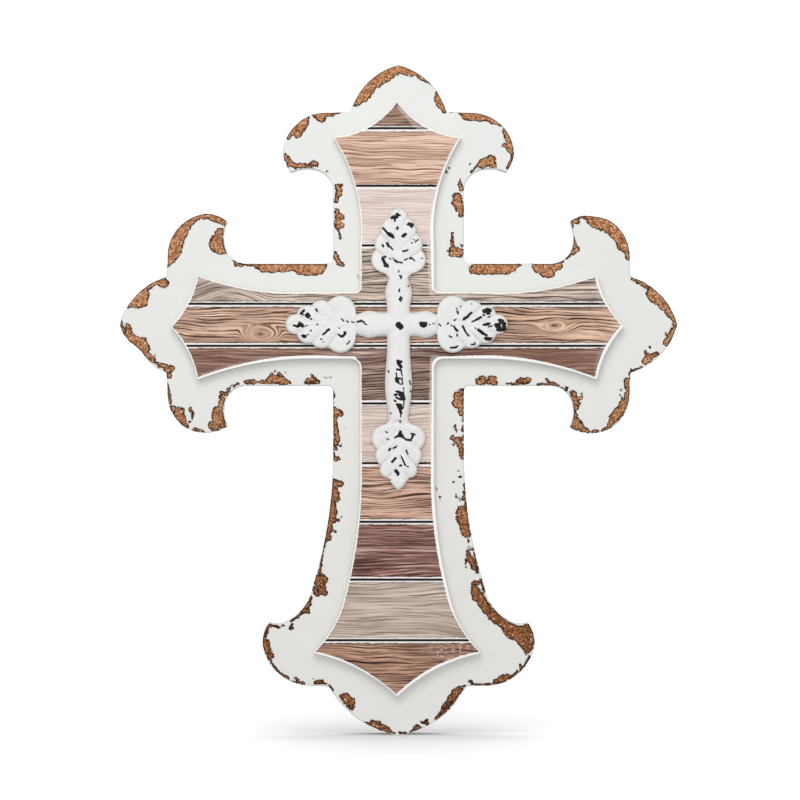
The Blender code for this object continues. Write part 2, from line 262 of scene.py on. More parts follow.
# Where the paint is chipped: strokes (x, y, x, y, radius) in pixels of the photograph, along the edges
CHIPS = (
    # Top lobe
    (356, 98, 359, 92, 8), (359, 92, 370, 78, 12), (370, 78, 386, 68, 12.5), (386, 68, 394, 66, 10),
    (396, 66, 404, 65.5, 8), (404, 66, 412, 68, 9), (412, 68, 425, 76, 5.5), (424, 77, 427, 79, 3.5),
    (427, 79, 435, 87, 1.2), (438, 94, 438.5, 94, 2.5), (440, 98, 441, 103, 5.5), (442, 104, 444, 110, 3),
    (446, 111, 460, 110.5, 0.7),
    # Top right curl
    (463, 110, 466, 110, 4.5), (470, 110, 481, 110.5, 11), (483, 111, 488, 113, 8.5),
    (488, 113, 494, 116, 8), (494, 117, 499, 121, 5), (499, 121, 503, 125, 1.5), (505, 131, 506, 134, 2.5),
    (508, 138, 510, 141, 3.5), (504, 145, 510, 147, 2.5), (509, 140, 511.5, 150, 4.5),
    (513, 153, 512, 160, 2), (512, 160, 509, 168, 2.2), (483, 163, 491, 160, 5), (479, 165, 484, 165, 3),
    (492, 163, 493, 166, 4), (476, 167, 471, 172, 0.8), (470, 164, 470.3, 164, 0.9),
    (447, 171, 446, 174, 0.8), (449, 168, 449.3, 168, 0.7), (460, 179, 460.4, 179, 0.9),
    # Top left curl
    (308, 113, 306, 115, 2.5), (303, 118, 301, 120, 6), (300, 121, 297, 126, 9), (297, 127, 298, 134, 4.5),
    (294, 128, 291, 133, 4), (290, 133, 288, 138, 1.5), (315, 113, 316, 115, 3), (319, 112, 321, 117, 5.5),
    (320, 111, 330, 110, 7), (330, 109, 336, 109.5, 4.5), (336, 109.5, 341, 109.8, 1.8),
    (285, 155, 287, 158, 1.8), (287, 158, 291, 163, 3), (290, 164, 296, 166, 3), (296, 166, 304, 165, 2.5),
    (304, 166, 311, 166, 1.6), (313, 163, 316, 164, 3), (327, 171.5, 327.3, 171.5, 1.1),
    # Upper shaft
    (337, 185, 341, 185.5, 1.8), (338.5, 188, 339.5, 194, 3), (338, 194, 336.5, 201, 2),
    (337, 211, 338, 228, 2.5), (338, 215, 342, 217, 3.5), (338, 222, 341, 225, 3.5),
    (338, 229, 340.5, 238, 1.2), (336, 252.5, 337, 256, 1.2), (336, 257, 339, 263, 2.8),
    (339, 263, 342, 264.5, 2.5), (460, 183, 461, 189, 2.3), (459, 195, 461, 215, 2.5),
    (457, 197, 459, 208, 4.5), (454.5, 203, 458, 205, 3.5), (453, 233, 452, 241, 1.2),
    (452, 242, 453, 248, 2.2), (453, 250, 459, 252.5, 4.2), (451, 254, 460, 255, 2.5),
    (448, 251, 448.5, 251.5, 1.2), (461, 245, 461.5, 245.5, 1),
    # Right arm, above
    (474, 269.5, 480, 269.5, 5), (480, 267, 506, 267.5, 7.5), (506, 267, 512, 266.5, 6),
    (513, 264.5, 518, 264.5, 3), (536, 265, 540, 268, 3.5), (540, 266, 548, 270, 8),
    (545, 272, 550, 273, 5.5), (550, 265, 558, 265.5, 4.8), (558, 264, 562, 261.5, 2),
    (573, 238, 575, 243, 1.6), (574, 246, 577, 249, 3.5), (572, 253, 575, 251, 2.8),
    (567, 258, 569, 256, 2), (571, 229, 571.5, 224, 1.2), (572, 226, 572, 222, 1.5),
    (573, 221, 577, 221.5, 3), (576, 218.5, 584, 217, 1.3), (584, 217, 592, 218, 1.6),
    (591, 217, 594, 217, 6), (597, 217, 606, 220, 11.5), (606, 220, 613, 225, 11),
    (613, 225, 619, 231, 10.5), (619, 231, 624, 239, 9.5), (624, 239, 627, 247, 7),
    (620, 246, 620, 247, 3), (627, 247, 629, 256, 4.5),
    # Left arm, above
    (167.5, 263, 168, 256, 4), (168, 256, 169, 250, 9), (169, 249, 171, 239, 13),
    (171, 239, 175, 230, 13.5), (175, 230, 181, 223, 11.5), (181, 223, 188, 218, 8.5),
    (188, 218, 195, 216, 6), (195, 216, 212, 214.5, 4), (213, 215.5, 219, 218.5, 5.5),
    (220, 219, 226, 221, 5), (220, 233, 220, 240, 5), (217, 244, 221, 247, 7.5), (215, 240, 214, 247, 5),
    (222, 240, 223, 243, 2), (216, 248, 224, 250.5, 4), (235, 259, 236, 265, 2),
    (236, 265, 243, 265.5, 1.6), (236, 259, 243, 261.5, 1.5), (243, 263.5, 252, 264.5, 1.8),
    (252, 264, 258, 264, 2.5), (258, 264, 264, 265, 5), (264, 265, 286, 265, 7.5), (286, 265, 294, 265, 5),
    (294, 265, 302, 266, 7), (302, 267, 317, 267, 8.8), (318, 266, 323, 267, 4),
    # Left arm's end
    (129, 305, 134, 304, 3.5), (136, 300, 140, 300, 8.5), (140, 296, 144, 295, 6), (144, 289, 150, 285, 4),
    (150, 284, 157, 281, 3.5), (160, 281, 164, 283, 5), (120.5, 322, 124, 331, 1.8),
    (127.5, 326, 131, 335, 3), (129, 335, 137, 341, 4.5), (138, 343, 145, 348, 5.5),
    (143, 340, 147, 349, 3.5), (144, 351, 153, 359, 2.8), (153, 358, 155, 355, 1),
    (153, 361, 160, 365, 1.5), (160, 365, 168, 367, 2.3), (167, 369, 171, 369, 3.8),
    (169, 373, 169.5, 376, 2.2),
    # Left arm, below
    (167, 385, 168, 391, 1.2), (168, 391, 170, 402, 2.2), (173, 409, 176, 409, 1.5),
    (174, 409, 181, 412, 3.5), (177, 414, 182, 419, 4.5), (181, 420, 187, 426, 2.2),
    (183, 409, 182, 414, 1.5), (190, 409, 193, 413, 1.8), (193, 414, 192, 419, 1.5),
    (191, 421, 187, 424, 1.2), (195, 429, 202, 431.5, 2), (221, 397, 224, 400, 2), (221, 402, 221, 412, 3),
    (218, 411, 219, 420, 5.5), (213, 414, 214, 420, 2), (212, 425, 217, 424, 4.5), (221, 420, 223, 426, 3),
    (214, 429, 219, 427, 2.5), (222, 393, 226, 394, 2), (228, 390, 229, 389, 1.5),
    (232, 386, 234, 385.5, 1.3), (236, 384, 238, 383.5, 0.8), (246, 381.5, 256, 382, 1.9),
    (254, 381, 258, 382, 1.6), (261, 381.5, 270, 382, 2), (268, 381, 287, 382, 2.5),
    (272, 378, 282, 379, 3.5), (271, 374, 273, 377, 1.6), (279, 373, 281, 376, 2),
    (284, 380, 289, 382, 1.8), (275, 370.5, 275, 372, 0.8), (285.5, 373, 286, 373, 0.7),
    (306, 382, 318, 382, 1.8), (309, 380, 314, 379, 2.8), (312, 376, 312.5, 378, 1.6),
    (325, 377.5, 328, 378.5, 1), (328, 378.5, 331, 377, 0.9),
    # Right arm's end
    (634, 279, 642, 284, 2.5), (642, 284, 648, 288, 2.5), (651, 294, 654, 298, 5), (653, 292, 659, 300, 6),
    (659, 300, 666, 307, 5), (666, 307, 671, 315, 3.8), (671, 315, 675, 322, 2.8),
    (674, 324, 676, 331, 2.3), (675, 329, 670, 336, 3.2), (670, 336, 666, 343, 3.2),
    (672, 328, 673, 329, 1.5), (666, 334, 668, 336, 1.5), (645, 361, 650, 357, 3.5),
    (650, 356, 657, 353.5, 2), (646, 352, 647, 356, 1.8), (650, 347, 650, 347.5, 1.1),
    (641, 367, 633, 371, 0.6), (631, 369, 630, 376, 0.9),
    # Right arm, below
    (627, 381, 628, 386, 3.5), (628, 386, 628, 394, 2.2), (627, 394, 626, 401, 2.8),
    (622, 399, 623, 401, 1.8), (623, 405, 619, 413, 4.5), (618, 411, 614, 418, 5),
    (623, 402, 622, 409, 2.5), (613, 420, 610, 424, 3), (609, 427, 603, 431, 1.6),
    (621, 389.5, 621, 390, 1), (620, 395, 620.5, 395, 0.7), (598, 432, 593, 431, 1.8),
    (572, 392, 575, 394, 2.2), (574, 397, 576, 408, 3), (577, 399, 581, 398, 2.5),
    (576, 404, 579, 404, 2.5), (581, 393.5, 582, 394, 1.2), (575, 409, 574, 413, 1),
    (575, 414, 576, 416, 1.8), (575, 420, 579, 425, 4.2), (580, 427, 587, 430.5, 3),
    (572, 423, 575, 429, 3), (562, 388.5, 563, 388.5, 1), (566, 387, 568, 388, 1.6),
    (565, 390, 567, 390, 1), (479, 381, 482, 381, 3.2), (480, 378, 484, 378, 2), (484, 381, 490, 382, 2.5),
    (490, 378, 494, 379, 3), (492, 381, 494, 382, 3.2), (507, 384, 512, 383.5, 1),
    (512, 384, 518, 384, 0.8), (518, 381, 529, 381, 2.3), (520, 379, 524, 379.5, 1.8),
    (527, 378.5, 529, 379, 1.8), (517, 383.5, 526, 383.5, 1), (538, 384.5, 556, 384, 1.1),
    (547, 380, 549, 383, 1.6), (552, 383, 558, 385.5, 1.6),
    # Lower shaft, right
    (461, 391, 461, 393, 2.3), (458, 396, 459, 404, 5), (455, 402, 457, 405, 3.5), (460, 406, 461, 413, 3),
    (463, 390, 463.5, 400, 1), (452.5, 402.5, 453, 403, 1.2), (462.5, 420, 463, 420, 1),
    (455, 425, 454, 427, 0.7), (455.5, 429, 456, 430, 1.3), (462, 430, 464, 430, 1.3),
    (463.5, 426, 464, 427, 0.7), (457, 432, 457, 433, 0.7), (453, 438, 456, 441, 2.8),
    (456, 438, 463, 439, 2), (458, 441, 460, 446, 3), (461, 446, 462, 456, 3), (464, 435, 464.5, 438, 1),
    (453, 444, 453.5, 446, 1), (458, 471, 459, 471, 0.7), (459.5, 477, 460.5, 477, 1.3),
    (453, 481.5, 453.5, 481.5, 0.6), (455, 494, 455.5, 494.5, 0.8), (457, 497.5, 458, 498, 0.9),
    (440, 497, 440.5, 497, 1), (436, 487, 436.4, 487, 0.9), (437, 490, 437.4, 490.2, 0.9),
    (440, 500.5, 440.4, 500.7, 0.9), (465, 484, 465.5, 492, 1), (463, 497, 464, 499, 2),
    (464, 492, 466, 500, 1.6), (460.5, 500.5, 461, 501, 1), (461, 508, 465, 508, 3),
    (461, 512, 465, 520, 5), (462, 520, 465, 527, 5), (464, 528, 466, 533, 4.8), (466, 505, 468, 535, 1.5),
    (457, 514, 457.5, 517, 1.2), (457, 520, 457, 522, 1), (468, 538, 469, 547, 0.7),
    (467, 549, 472, 549.5, 1), (468, 552, 470, 560, 2.8), (471, 558, 474, 567, 3), (474, 566, 477, 572, 2),
    (465.5, 558, 466, 567, 0.9), (474, 553, 478, 567, 0.9), (474, 583, 478, 583, 2.5),
    (474, 588, 476, 598, 4), (481, 580, 484, 592, 1.3), (476, 592, 482, 602, 5), (483, 604, 490, 612, 5),
    (490, 612, 497, 620, 5.5), (497, 620, 505, 625, 5), (505, 624, 513, 632, 5.5),
    (510, 630, 520, 636, 7.5), (518, 632, 527, 632, 6), (522, 640, 527, 646, 6), (524, 645, 527, 651, 3.5),
    (527, 628, 530, 634, 4.5), (529, 634, 531, 641, 3.5), (526, 626, 530, 628, 2.5),
    # Foot, right
    (529, 658, 526, 664, 1.5), (526, 664, 521, 671, 1.1), (520, 665, 521, 669, 2),
    (517, 671, 515, 675, 1.5), (514, 675, 509, 678, 1.3), (495, 681, 500, 680, 2.5),
    (500, 680, 506, 677, 3.5), (506, 678, 512, 676.5, 1.8), (470, 683, 480, 684.5, 0.9),
    (480, 684.5, 491, 684, 0.9), (470, 681, 472, 683, 1.5), (464, 686, 460, 688, 1),
    (459, 689, 454, 693, 3.2), (454, 694, 450, 699, 3), (449, 700, 444, 707, 2.3),
    (444, 708, 440, 714, 1.8), (440, 714, 436, 719, 1.2), (461, 690, 457, 694, 2.5),
    (457, 694, 452, 701, 2.5), (451, 702, 446, 709, 2), (445, 710, 441, 715, 1.6),
    (493, 654, 494, 654.5, 0.7), (421, 722, 423, 723, 1.5), (425, 723, 427, 723, 1.8),
    (427, 720, 427.5, 722, 1), (415, 728, 419, 728, 2.3), (416, 726, 418, 726, 2),
    (410, 732, 414, 730, 0.9), (400, 733, 406, 733, 1.3),
    # Foot, left
    (366, 723, 372, 724, 1.5), (372, 722, 379, 723, 2.3), (373, 725, 382, 727, 3.2),
    (382, 727, 388, 730, 3.2), (388, 731, 394, 734, 1.8), (342, 696, 347, 696, 2.5),
    (346, 698, 350, 702, 5), (350, 704, 352, 708, 2.5), (352, 700, 353, 703, 2.5),
    (329, 685, 333, 690, 0.7), (316, 682, 322, 681, 2.2), (313, 678.5, 315, 680, 1),
    (322, 682.5, 327, 683.5, 0.9), (299, 682, 304, 684, 1.5), (296, 678, 298, 681, 1.6),
    (293, 682, 297, 683, 1), (280, 674, 288, 678, 1.8), (277, 671, 278, 672, 0.8),
    (268, 625, 277, 627, 1.4), (277, 627, 280, 628, 1.3), (271, 622.5, 274, 625, 1),
    (283, 625.5, 284, 625.5, 0.8), (267, 627, 265, 636, 2.3), (264, 636, 264, 645, 2.2),
    (266, 643, 267, 650, 4), (268, 650, 271, 656, 3.2), (268, 657, 271, 661, 1.5),
    (272, 663, 276, 669, 1.3), (276, 670, 279, 672, 1), (291, 627.5, 291.5, 628, 2),
    (292, 624, 292.5, 624, 1), (292, 621, 298, 617, 1.3), (298, 616, 302, 613, 1.3),
    (304, 611, 308, 611, 2.8), (306, 607, 309, 604, 3), (309, 602, 311, 598, 1.8),
    # Lower shaft, left
    (323, 577, 325, 580, 3.2), (319, 580, 322, 590, 5), (322, 588, 325, 593, 3.2), (315, 589, 317, 594, 3),
    (320, 573, 321, 575, 2), (322, 555, 320, 572, 1.5), (332, 392, 332.5, 402, 1.2),
    (333, 394.5, 333.5, 396, 1.5), (334, 410, 336, 416, 3), (338, 412, 341, 414, 3.2),
    (334, 418, 335, 424, 2.5), (335, 426, 336, 432, 3), (336, 434, 338, 440, 3), (334, 440, 336, 443, 2.8),
    (334, 447, 336, 449, 1.8), (333, 452, 334, 455, 1.6), (334, 458, 337, 459, 2.3),
    (332, 425, 332, 460, 0.9), (338.5, 458, 339, 459, 1.5), (340.5, 446, 342, 445, 0.9),
    (341, 428, 341.5, 428, 0.8), (344, 428, 344.5, 428, 0.8), (334, 483, 340, 484, 3.5),
    (333, 488, 336, 494, 4), (332, 494, 337, 499, 3.5), (331, 500, 334, 512, 4), (331, 512, 333, 520, 4),
    (335, 519, 338, 520, 1.8), (329, 522, 331, 530, 3), (328, 530, 329, 537, 3), (327, 535, 331, 537, 1.5),
    (326, 540, 325, 543, 1.6), (324, 545, 321, 560, 1.1), (341, 517.5, 341.5, 517, 0.9),
    (334.5, 531.5, 335.5, 532, 1.2), (356, 274, 358, 279, 0.5), (358, 279, 361, 275, 0.5),
)
# Where the cast cross is rubbed to black, in strokes of the same kind
RUBBED = (
    # Upper leaf
    (396, 215, 398, 214.5, 0.9), (397, 216, 400, 216.3, 1.1), (392, 218.5, 397, 218, 1.6),
    (394, 217, 395, 221.5, 1.2), (409, 225, 412, 226, 2.1), (407, 225.5, 409, 225.3, 0.8),
    (411, 227.5, 411.5, 228, 1.2), (396, 229, 399, 229, 0.7), (397.5, 227.5, 397.5, 230.5, 0.5),
    (383, 229, 386, 232, 1.2), (386, 232, 388, 235, 1.1), (389, 235, 392, 236.5, 2.1),
    (391, 237, 393.5, 238.5, 1.2), (403, 237, 405.5, 235, 1.6), (402, 237.5, 403, 237.5, 1),
    (382.5, 245.5, 383.5, 247.5, 1.1), (387, 244, 389, 247, 1.4), (391, 248, 392.5, 250, 1.1),
    (403, 252, 406, 251.5, 1.1), (406, 251.5, 408, 250.5, 0.8), (411.5, 243.5, 412, 244, 0.9),
    (413.5, 240.5, 414, 240.7, 0.7), (415, 243, 418, 240.5, 0.7), (382.5, 258.5, 385.5, 257.5, 1.2),
    (383, 260, 385, 264, 1.6), (384, 263, 386, 264, 1.3), (385, 266, 387.5, 266, 1.6),
    (385.5, 267.5, 388.5, 267.5, 0.8), (390, 259.3, 390.6, 259.5, 0.8), (393, 259, 393.5, 259.3, 0.8),
    (395, 261, 397, 262.5, 1.3), (397, 262.5, 402, 263.5, 0.9), (404.5, 260.8, 407.5, 259.5, 0.7),
    (410, 259, 412, 259, 1.1), (412.5, 259.5, 414.5, 261.5, 0.8), (421.8, 259, 422.3, 259, 0.9),
    # Upper shaft and middle
    (398.5, 271.5, 398.7, 272.5, 0.7), (399.5, 276.5, 401.5, 277, 0.9), (401, 277, 401, 279, 0.9),
    (399.5, 290, 399, 292, 1), (400.5, 297.5, 402, 299, 1), (399.5, 300, 401, 301.5, 1.1),
    (408, 286.5, 408.3, 287, 0.6), (398, 325, 401, 327, 2.6), (399, 323.5, 400, 329, 1.6),
    (397, 327, 402, 328, 1.2),
    # Right arm and leaf
    (421, 324, 425, 325.5, 2.2), (424, 323, 427, 323.5, 1), (421, 326, 424, 327, 1.5),
    (429, 325, 430, 325.3, 0.7), (433, 324, 434, 324.2, 0.6), (438.5, 324.5, 440.5, 326, 0.8),
    (447, 324.3, 448.5, 323.3, 0.9), (457, 311.5, 458, 314, 1), (456, 309.2, 456.4, 309.3, 0.6),
    (460, 306.5, 460.4, 306.6, 0.6), (471, 304.3, 471.4, 304.4, 0.7), (463.5, 319.5, 467.5, 317, 1.5),
    (467, 317, 471, 313, 1.2), (454, 321, 455.5, 319.7, 0.9), (451, 326, 451.5, 326.2, 0.6),
    (471.5, 322.3, 476, 320.3, 0.9), (476, 320, 480.5, 317.6, 1.3), (484, 311.5, 489, 311, 2.4),
    (486, 309, 488, 309.5, 1), (483, 315.3, 484, 315.8, 1.1), (487, 314, 489, 314, 1.3),
    (487.5, 317.7, 489.5, 316.8, 0.7), (453.5, 326.7, 454.5, 328, 1.1), (455, 329, 457, 331.3, 1.3),
    (449, 336, 450, 337, 0.9), (451, 337.3, 451.5, 337.5, 0.7), (456.5, 334.5, 457, 336.5, 0.6),
    (450.5, 348, 456, 347.7, 1.1), (456, 347, 458, 346, 0.7), (462.5, 326.5, 463.5, 329, 1.2),
    (463.5, 329, 466, 333.5, 1), (466, 333.5, 468.5, 336, 1), (475, 328.5, 475.6, 328.8, 0.8),
    (478, 330.3, 483, 334, 1.7), (483, 334, 486, 335.5, 1.3), (485.5, 335.5, 486, 338, 0.9),
    (486, 339, 489, 339.3, 2), (484.5, 338.7, 491, 338.6, 1.2), (483.5, 325, 488, 325.2, 1.4),
    (486, 323.5, 490, 323.5, 0.8), (488, 327.3, 491.5, 326.5, 0.8), (499, 320.5, 502, 321.5, 1.8),
    (495, 325, 497, 328, 1.6), (497, 330, 500, 330.8, 1.6), (503, 324, 504, 329, 2),
    (500, 322, 504, 324, 1.8), (498, 325, 499, 329, 2.2), (501, 329, 503, 330.5, 1.5),
    (471, 344.7, 474.5, 344.5, 0.9), (474.5, 342.7, 474.8, 344, 0.7),
    # Left arm and leaf
    (302, 313.5, 304.5, 310.8, 1.4), (301, 314, 303.5, 315, 1), (306.5, 315.5, 308.5, 317.5, 1.6),
    (308.5, 314, 310.5, 316.5, 1.2), (311, 319.2, 312, 319.5, 0.6), (294, 325.8, 297, 326.3, 1.1),
    (298, 327, 300, 325, 1.6), (300, 323.5, 303, 325, 1.6), (301, 326, 304, 327, 1.3),
    (307, 326, 307.6, 326.1, 0.7), (303, 336, 306, 336.3, 1.5), (304, 337.8, 306, 337.5, 1),
    (308.5, 334.8, 308.8, 335.2, 0.8), (316.7, 309.5, 317.5, 311.5, 0.9), (317.5, 324.6, 318, 324.8, 0.9),
    (311, 331.3, 311.8, 330.8, 0.6), (323.5, 334.8, 327, 332, 1.2), (327, 331.5, 329.5, 329.7, 1.3),
    (321.6, 339.3, 322, 339.5, 1), (323.5, 342.3, 324, 342.1, 0.7), (339.3, 328.4, 339.7, 328.8, 0.8),
    (338.3, 334.5, 340.5, 336, 0.7), (341, 336.5, 343, 337, 1.3), (343.5, 336, 345.5, 334, 1.4),
    (344.5, 332.5, 346, 332.8, 1), (347.5, 344.3, 350, 341.5, 0.7), (342, 319.5, 344, 321.4, 0.6),
    (347, 321.5, 348.5, 322.5, 0.7), (352, 322.2, 354, 322.6, 0.5), (358, 322.2, 362, 321.5, 1.2),
    (361, 321, 364, 322.5, 1.1), (364, 323, 367, 325.5, 0.6),
    # Lower shaft
    (397.5, 361, 401.5, 362, 1.3), (398, 363, 401, 367, 1.7), (397, 369.5, 401, 370.5, 1.2),
    (401.5, 371, 402, 376, 0.7), (396.3, 373, 396.8, 378, 0.8), (396.5, 379.5, 397.5, 381.5, 2),
    (398, 378.5, 400.5, 378.5, 0.9), (402, 378, 402.5, 384, 0.6), (399.5, 384, 400.5, 384.3, 0.9),
    (403.3, 388, 403.6, 389.5, 0.6), (396, 391.5, 398, 391.5, 1.1), (394.5, 395, 397, 394.5, 1.1),
    (399, 392, 402, 393.5, 1.5), (400, 395, 404, 399, 1.8), (403.5, 392, 404.5, 398, 0.8),
    (398, 398.5, 402, 399.5, 1.3), (396, 397.3, 397, 397.8, 0.9), (394.5, 400.5, 395.8, 401.3, 1.1),
    (404, 400, 403.5, 406, 0.6), (397, 404.5, 401, 405, 1.4), (398.5, 407, 402, 408, 1.8),
    (400, 410, 401, 413, 1.5), (400.5, 414, 401, 417, 0.8), (400, 420.5, 400.2, 422.5, 0.8),
    (409.5, 381, 410.5, 384.5, 0.7), (410.5, 391, 411.3, 392, 0.9), (388.5, 371, 388.7, 372.5, 0.6),
    (390.5, 413, 391, 413.3, 0.6),
    # Lower leaf
    (395, 437.5, 398, 436, 1), (398, 436, 400.5, 432, 1.4), (400.5, 431.5, 401.5, 435, 1.4),
    (399, 435.5, 402.5, 436, 1.7), (402.5, 437, 406, 439.3, 1.1), (406, 439.5, 410.5, 440, 1.2),
    (411, 439, 412.5, 437, 1), (412.5, 436, 413.5, 434, 1.3), (411, 433.3, 415, 434.3, 1),
    (385.5, 431.5, 387.5, 432.5, 0.7), (387, 438.8, 388.8, 439.3, 0.7), (393.5, 448, 396.5, 446.3, 1),
    (389, 450, 390.3, 448.5, 1.1), (406.3, 449.8, 406.8, 452, 0.9), (407, 452.5, 408, 454, 0.5),
    (392, 461.5, 395.5, 458, 1.3), (401, 455.5, 403, 460, 0.7), (403, 460, 405.5, 465, 1),
    (400, 465.5, 401.5, 465, 1.1), (407.5, 466, 408.3, 466.2, 0.8), (396, 470.5, 398, 473, 1.9),
    (397.5, 474, 397.8, 474.5, 1.1), (390, 479.3, 390.4, 479.5, 0.6),
)

# The studio, in metres
CAMERA_DISTANCE = 1.9
SENSOR_WIDTH = 36
FRONT_STRENGTH = 0.94
SIDE_STRENGTH = 0.35
BACK_STRENGTH = 1.12
KEY_PLACE = (-0.1, -0.8, 0.35)
KEY_SIZE = 0.6
KEY_POWER = 2.8
KEY_AIM_HEIGHT = 0.2
OVERHEAD_STRENGTH = 7.2
OVERHEAD_ANGLE = 80
FLOOR_HALF = 12
FLOOR_CELLS = 12
FLOOR_COLOUR = (0.35, 0.35, 0.35)


def arc(start, end, rise, pace=0.2):
    """Points after start up to end on the round arc that stands rise to the left of the straight way.

    The centre lies on the chord's middle line, and each point is the start turned about it by an equal share.
    """
    chord = end - start
    count = max(2, round(abs(chord) / pace))
    shares = np.arange(1, count + 1) / count
    if rise == 0:
        return start + chord * shares
    half_angle = 2 * np.arctan(2 * abs(rise) / abs(chord))
    radius = abs(chord) / 2 / np.sin(half_angle)
    side = np.sign(rise)
    centre = (start + end) / 2 - side * radius * np.cos(half_angle) * 1j * chord / abs(chord)
    return centre + (start - centre) * np.exp(-2j * side * half_angle * shares)


def chain(stops):
    """(outline, base) of a chain of arcs through stops (point, rise, base point), both as dense arrays.

    The base point moves evenly from stop to stop while the outline follows its arc.
    """
    outline = [np.array([stops[0][0]])]
    base = [np.array([stops[0][2]])]
    for (start, _, base_start), (end, rise, base_end) in zip(stops, stops[1:]):
        points = arc(start, end, rise)
        shares = np.arange(1, len(points) + 1) / len(points)
        outline.append(points)
        base.append(base_start + (base_end - base_start) * shares)
    return np.array([np.concatenate(outline), np.concatenate(base)])


def half_end(reach, rows, half_width=0.0, edge_rows=0):
    """One half of an arm's end from its neck to its tip, as along + 1j * across.

    A row's point lies reach less its way back along the arm. It lies its way out across it, and in the first
    edge_rows rows that is counted from half_width.
    """
    stops = []
    for index, (back, out, rise, base_back, base_out) in enumerate(rows):
        across = out + (half_width if index < edge_rows else 0)
        stops.append((reach - back + 1j * across, rise, reach - base_back + 1j * base_out))
    return chain(stops)


def joined(pieces):
    """Dense pieces of (outline, base) joined by straight ways, as one piece."""
    result = [pieces[0]]
    for piece in pieces[1:]:
        before = result[-1][:, -1]
        after = piece[:, 0]
        result.append(chain([(before[0], 0, before[1]), (after[0], 0, after[1])])[:, 1:-1])
        result.append(piece)
    return np.concatenate(result, axis=1)


def cross_path(top, upper, lower, foot, corners):
    """The whole closed way round a cross, clockwise from the top: its right half, then that half mirrored.

    The halves of the arms' ends are turned into place by 1j and -1j, and run backwards by reversing their
    conjugates. The mirror image is the negative conjugate.
    """
    right = joined(
        [
            1j * top[:, ::-1].conj(),
            corners[0],
            upper,
            lower[:, ::-1].conj(),
            corners[1],
            -1j * foot,
        ]
    )
    return np.concatenate([right, -right[:, -2:0:-1].conj()], axis=1)


def inner_corner(half_shaft, half_arm, base_gap, radius, sign):
    """The rounded corner between the shaft and an arm, above the arm (sign 1) or below it (-1).

    It is a quarter circle, which rises over its chord by radius * (1 - sqrt(1 / 2)).
    """
    base = half_shaft - base_gap + 1j * (half_arm - base_gap)
    rise = -radius * (1 - np.sqrt(0.5))
    above = half_shaft + 1j * (half_arm + radius)
    beside = half_shaft + radius + 1j * half_arm
    corner = chain([(above, 0, base), (beside, rise, base)])
    return corner if sign > 0 else corner[:, ::-1].conj()


def paced(path, count, closed=True):
    """The path's rows read at count places an equal way apart along its first row."""
    if closed:
        path = np.concatenate([path, path[:, :1]], axis=1)
    way = np.concatenate([[0], np.cumsum(np.abs(np.diff(path[0])))])
    places = np.linspace(0, way[-1], count, endpoint=not closed)
    return [np.interp(places, way, row.real) + 1j * np.interp(places, way, row.imag) for row in path]


def way_round(path):
    """The length of the path's first row: the sum of the ways from point to point."""
    return np.abs(np.diff(path[0])).sum()


def softened(outline, rounding):
    """The closed outline with its corners rounded by a running average.

    The average has bell-shaped weights exp(-(k * pace / rounding)**2 / 2) over the points k places away.
    """
    pace = np.abs(np.diff(outline)).mean()
    reach = int(3 * rounding / pace) + 1
    weights = {k: np.exp(-((k * pace / rounding) ** 2) / 2) for k in range(-reach, reach + 1)}
    return sum(np.roll(outline, k) * weight for k, weight in weights.items()) / sum(weights.values())


def strayed(outline):
    """The outline moved by each stray's shift, which fades as exp(-(distance / spread)**2)."""
    for x, y, shift_x, shift_y, spread in STRAYS:
        fade = np.exp(-((np.abs(outline - at_pixel(x, y)) / (spread * PIXEL)) ** 2))
        outline = outline + fade * (shift_x - 1j * shift_y) * PIXEL
    return outline


def outward(outline):
    """Unit vectors pointing out of the closed clockwise outline: the way forward turned left."""
    forward = np.roll(outline, -1) - np.roll(outline, 1)
    return 1j * forward / np.abs(forward)


def noise(place, size, seed, octaves=3):
    """Smooth noise of about -1 to 1 on x + 1j * z: random values on a square lattice, blended by smoothstep.

    Each octave halves the lattice and the strength.
    """
    total = 0
    for octave in range(octaves):
        table = np.random.default_rng(seed + octave).uniform(-1, 1, (128, 128))
        u = place.real / size * 2**octave
        v = place.imag / size * 2**octave
        column, row = np.floor(u).astype(int), np.floor(v).astype(int)
        s, t = u - column, v - row
        s, t = s * s * (3 - 2 * s), t * t * (3 - 2 * t)
        near = table[column % 128, row % 128] * (1 - s) + table[(column + 1) % 128, row % 128] * s
        far = table[column % 128, (row + 1) % 128] * (1 - s) + table[(column + 1) % 128, (row + 1) % 128] * s
        total = total + (near * (1 - t) + far * t) / 2**octave
    return total


def smoothstep(value, low, high):
    """0 below low, 1 above high, and 3 s^2 - 2 s^3 between them."""
    share = np.clip((value - low) / (high - low), 0, 1)
    return share * share * (3 - 2 * share)


def at_pixel(x, y):
    """The place of a pixel of the photograph on the cross, as x + 1j * z."""
    return ((x - CROSSING_PIXEL.real) - 1j * (y - CROSSING_PIXEL.imag)) * PIXEL


def to_strokes(place, strokes, depth=0.0):
    """How far each place is from the nearest stroke's edge, negative inside it.

    A stroke is (x, y, x, y, radius) in pixels: the distance is that to the straight way between its ends,
    less the radius, which is taken as at least 0.8. depth is how far the place lies behind the stroked face.
    """
    nearest = np.full(place.shape, 99.0)
    for x0, y0, x1, y1, radius in strokes:
        start = at_pixel(x0, y0)
        run = at_pixel(x1, y1) - start
        offset = place - start
        share = np.clip((offset * np.conj(run)).real / max(abs(run) ** 2, 1e-9), 0, 1)
        gap = np.hypot(np.abs(offset - share * run), depth) - max(radius, 0.8) * PIXEL
        nearest = np.minimum(nearest, gap)
    return nearest


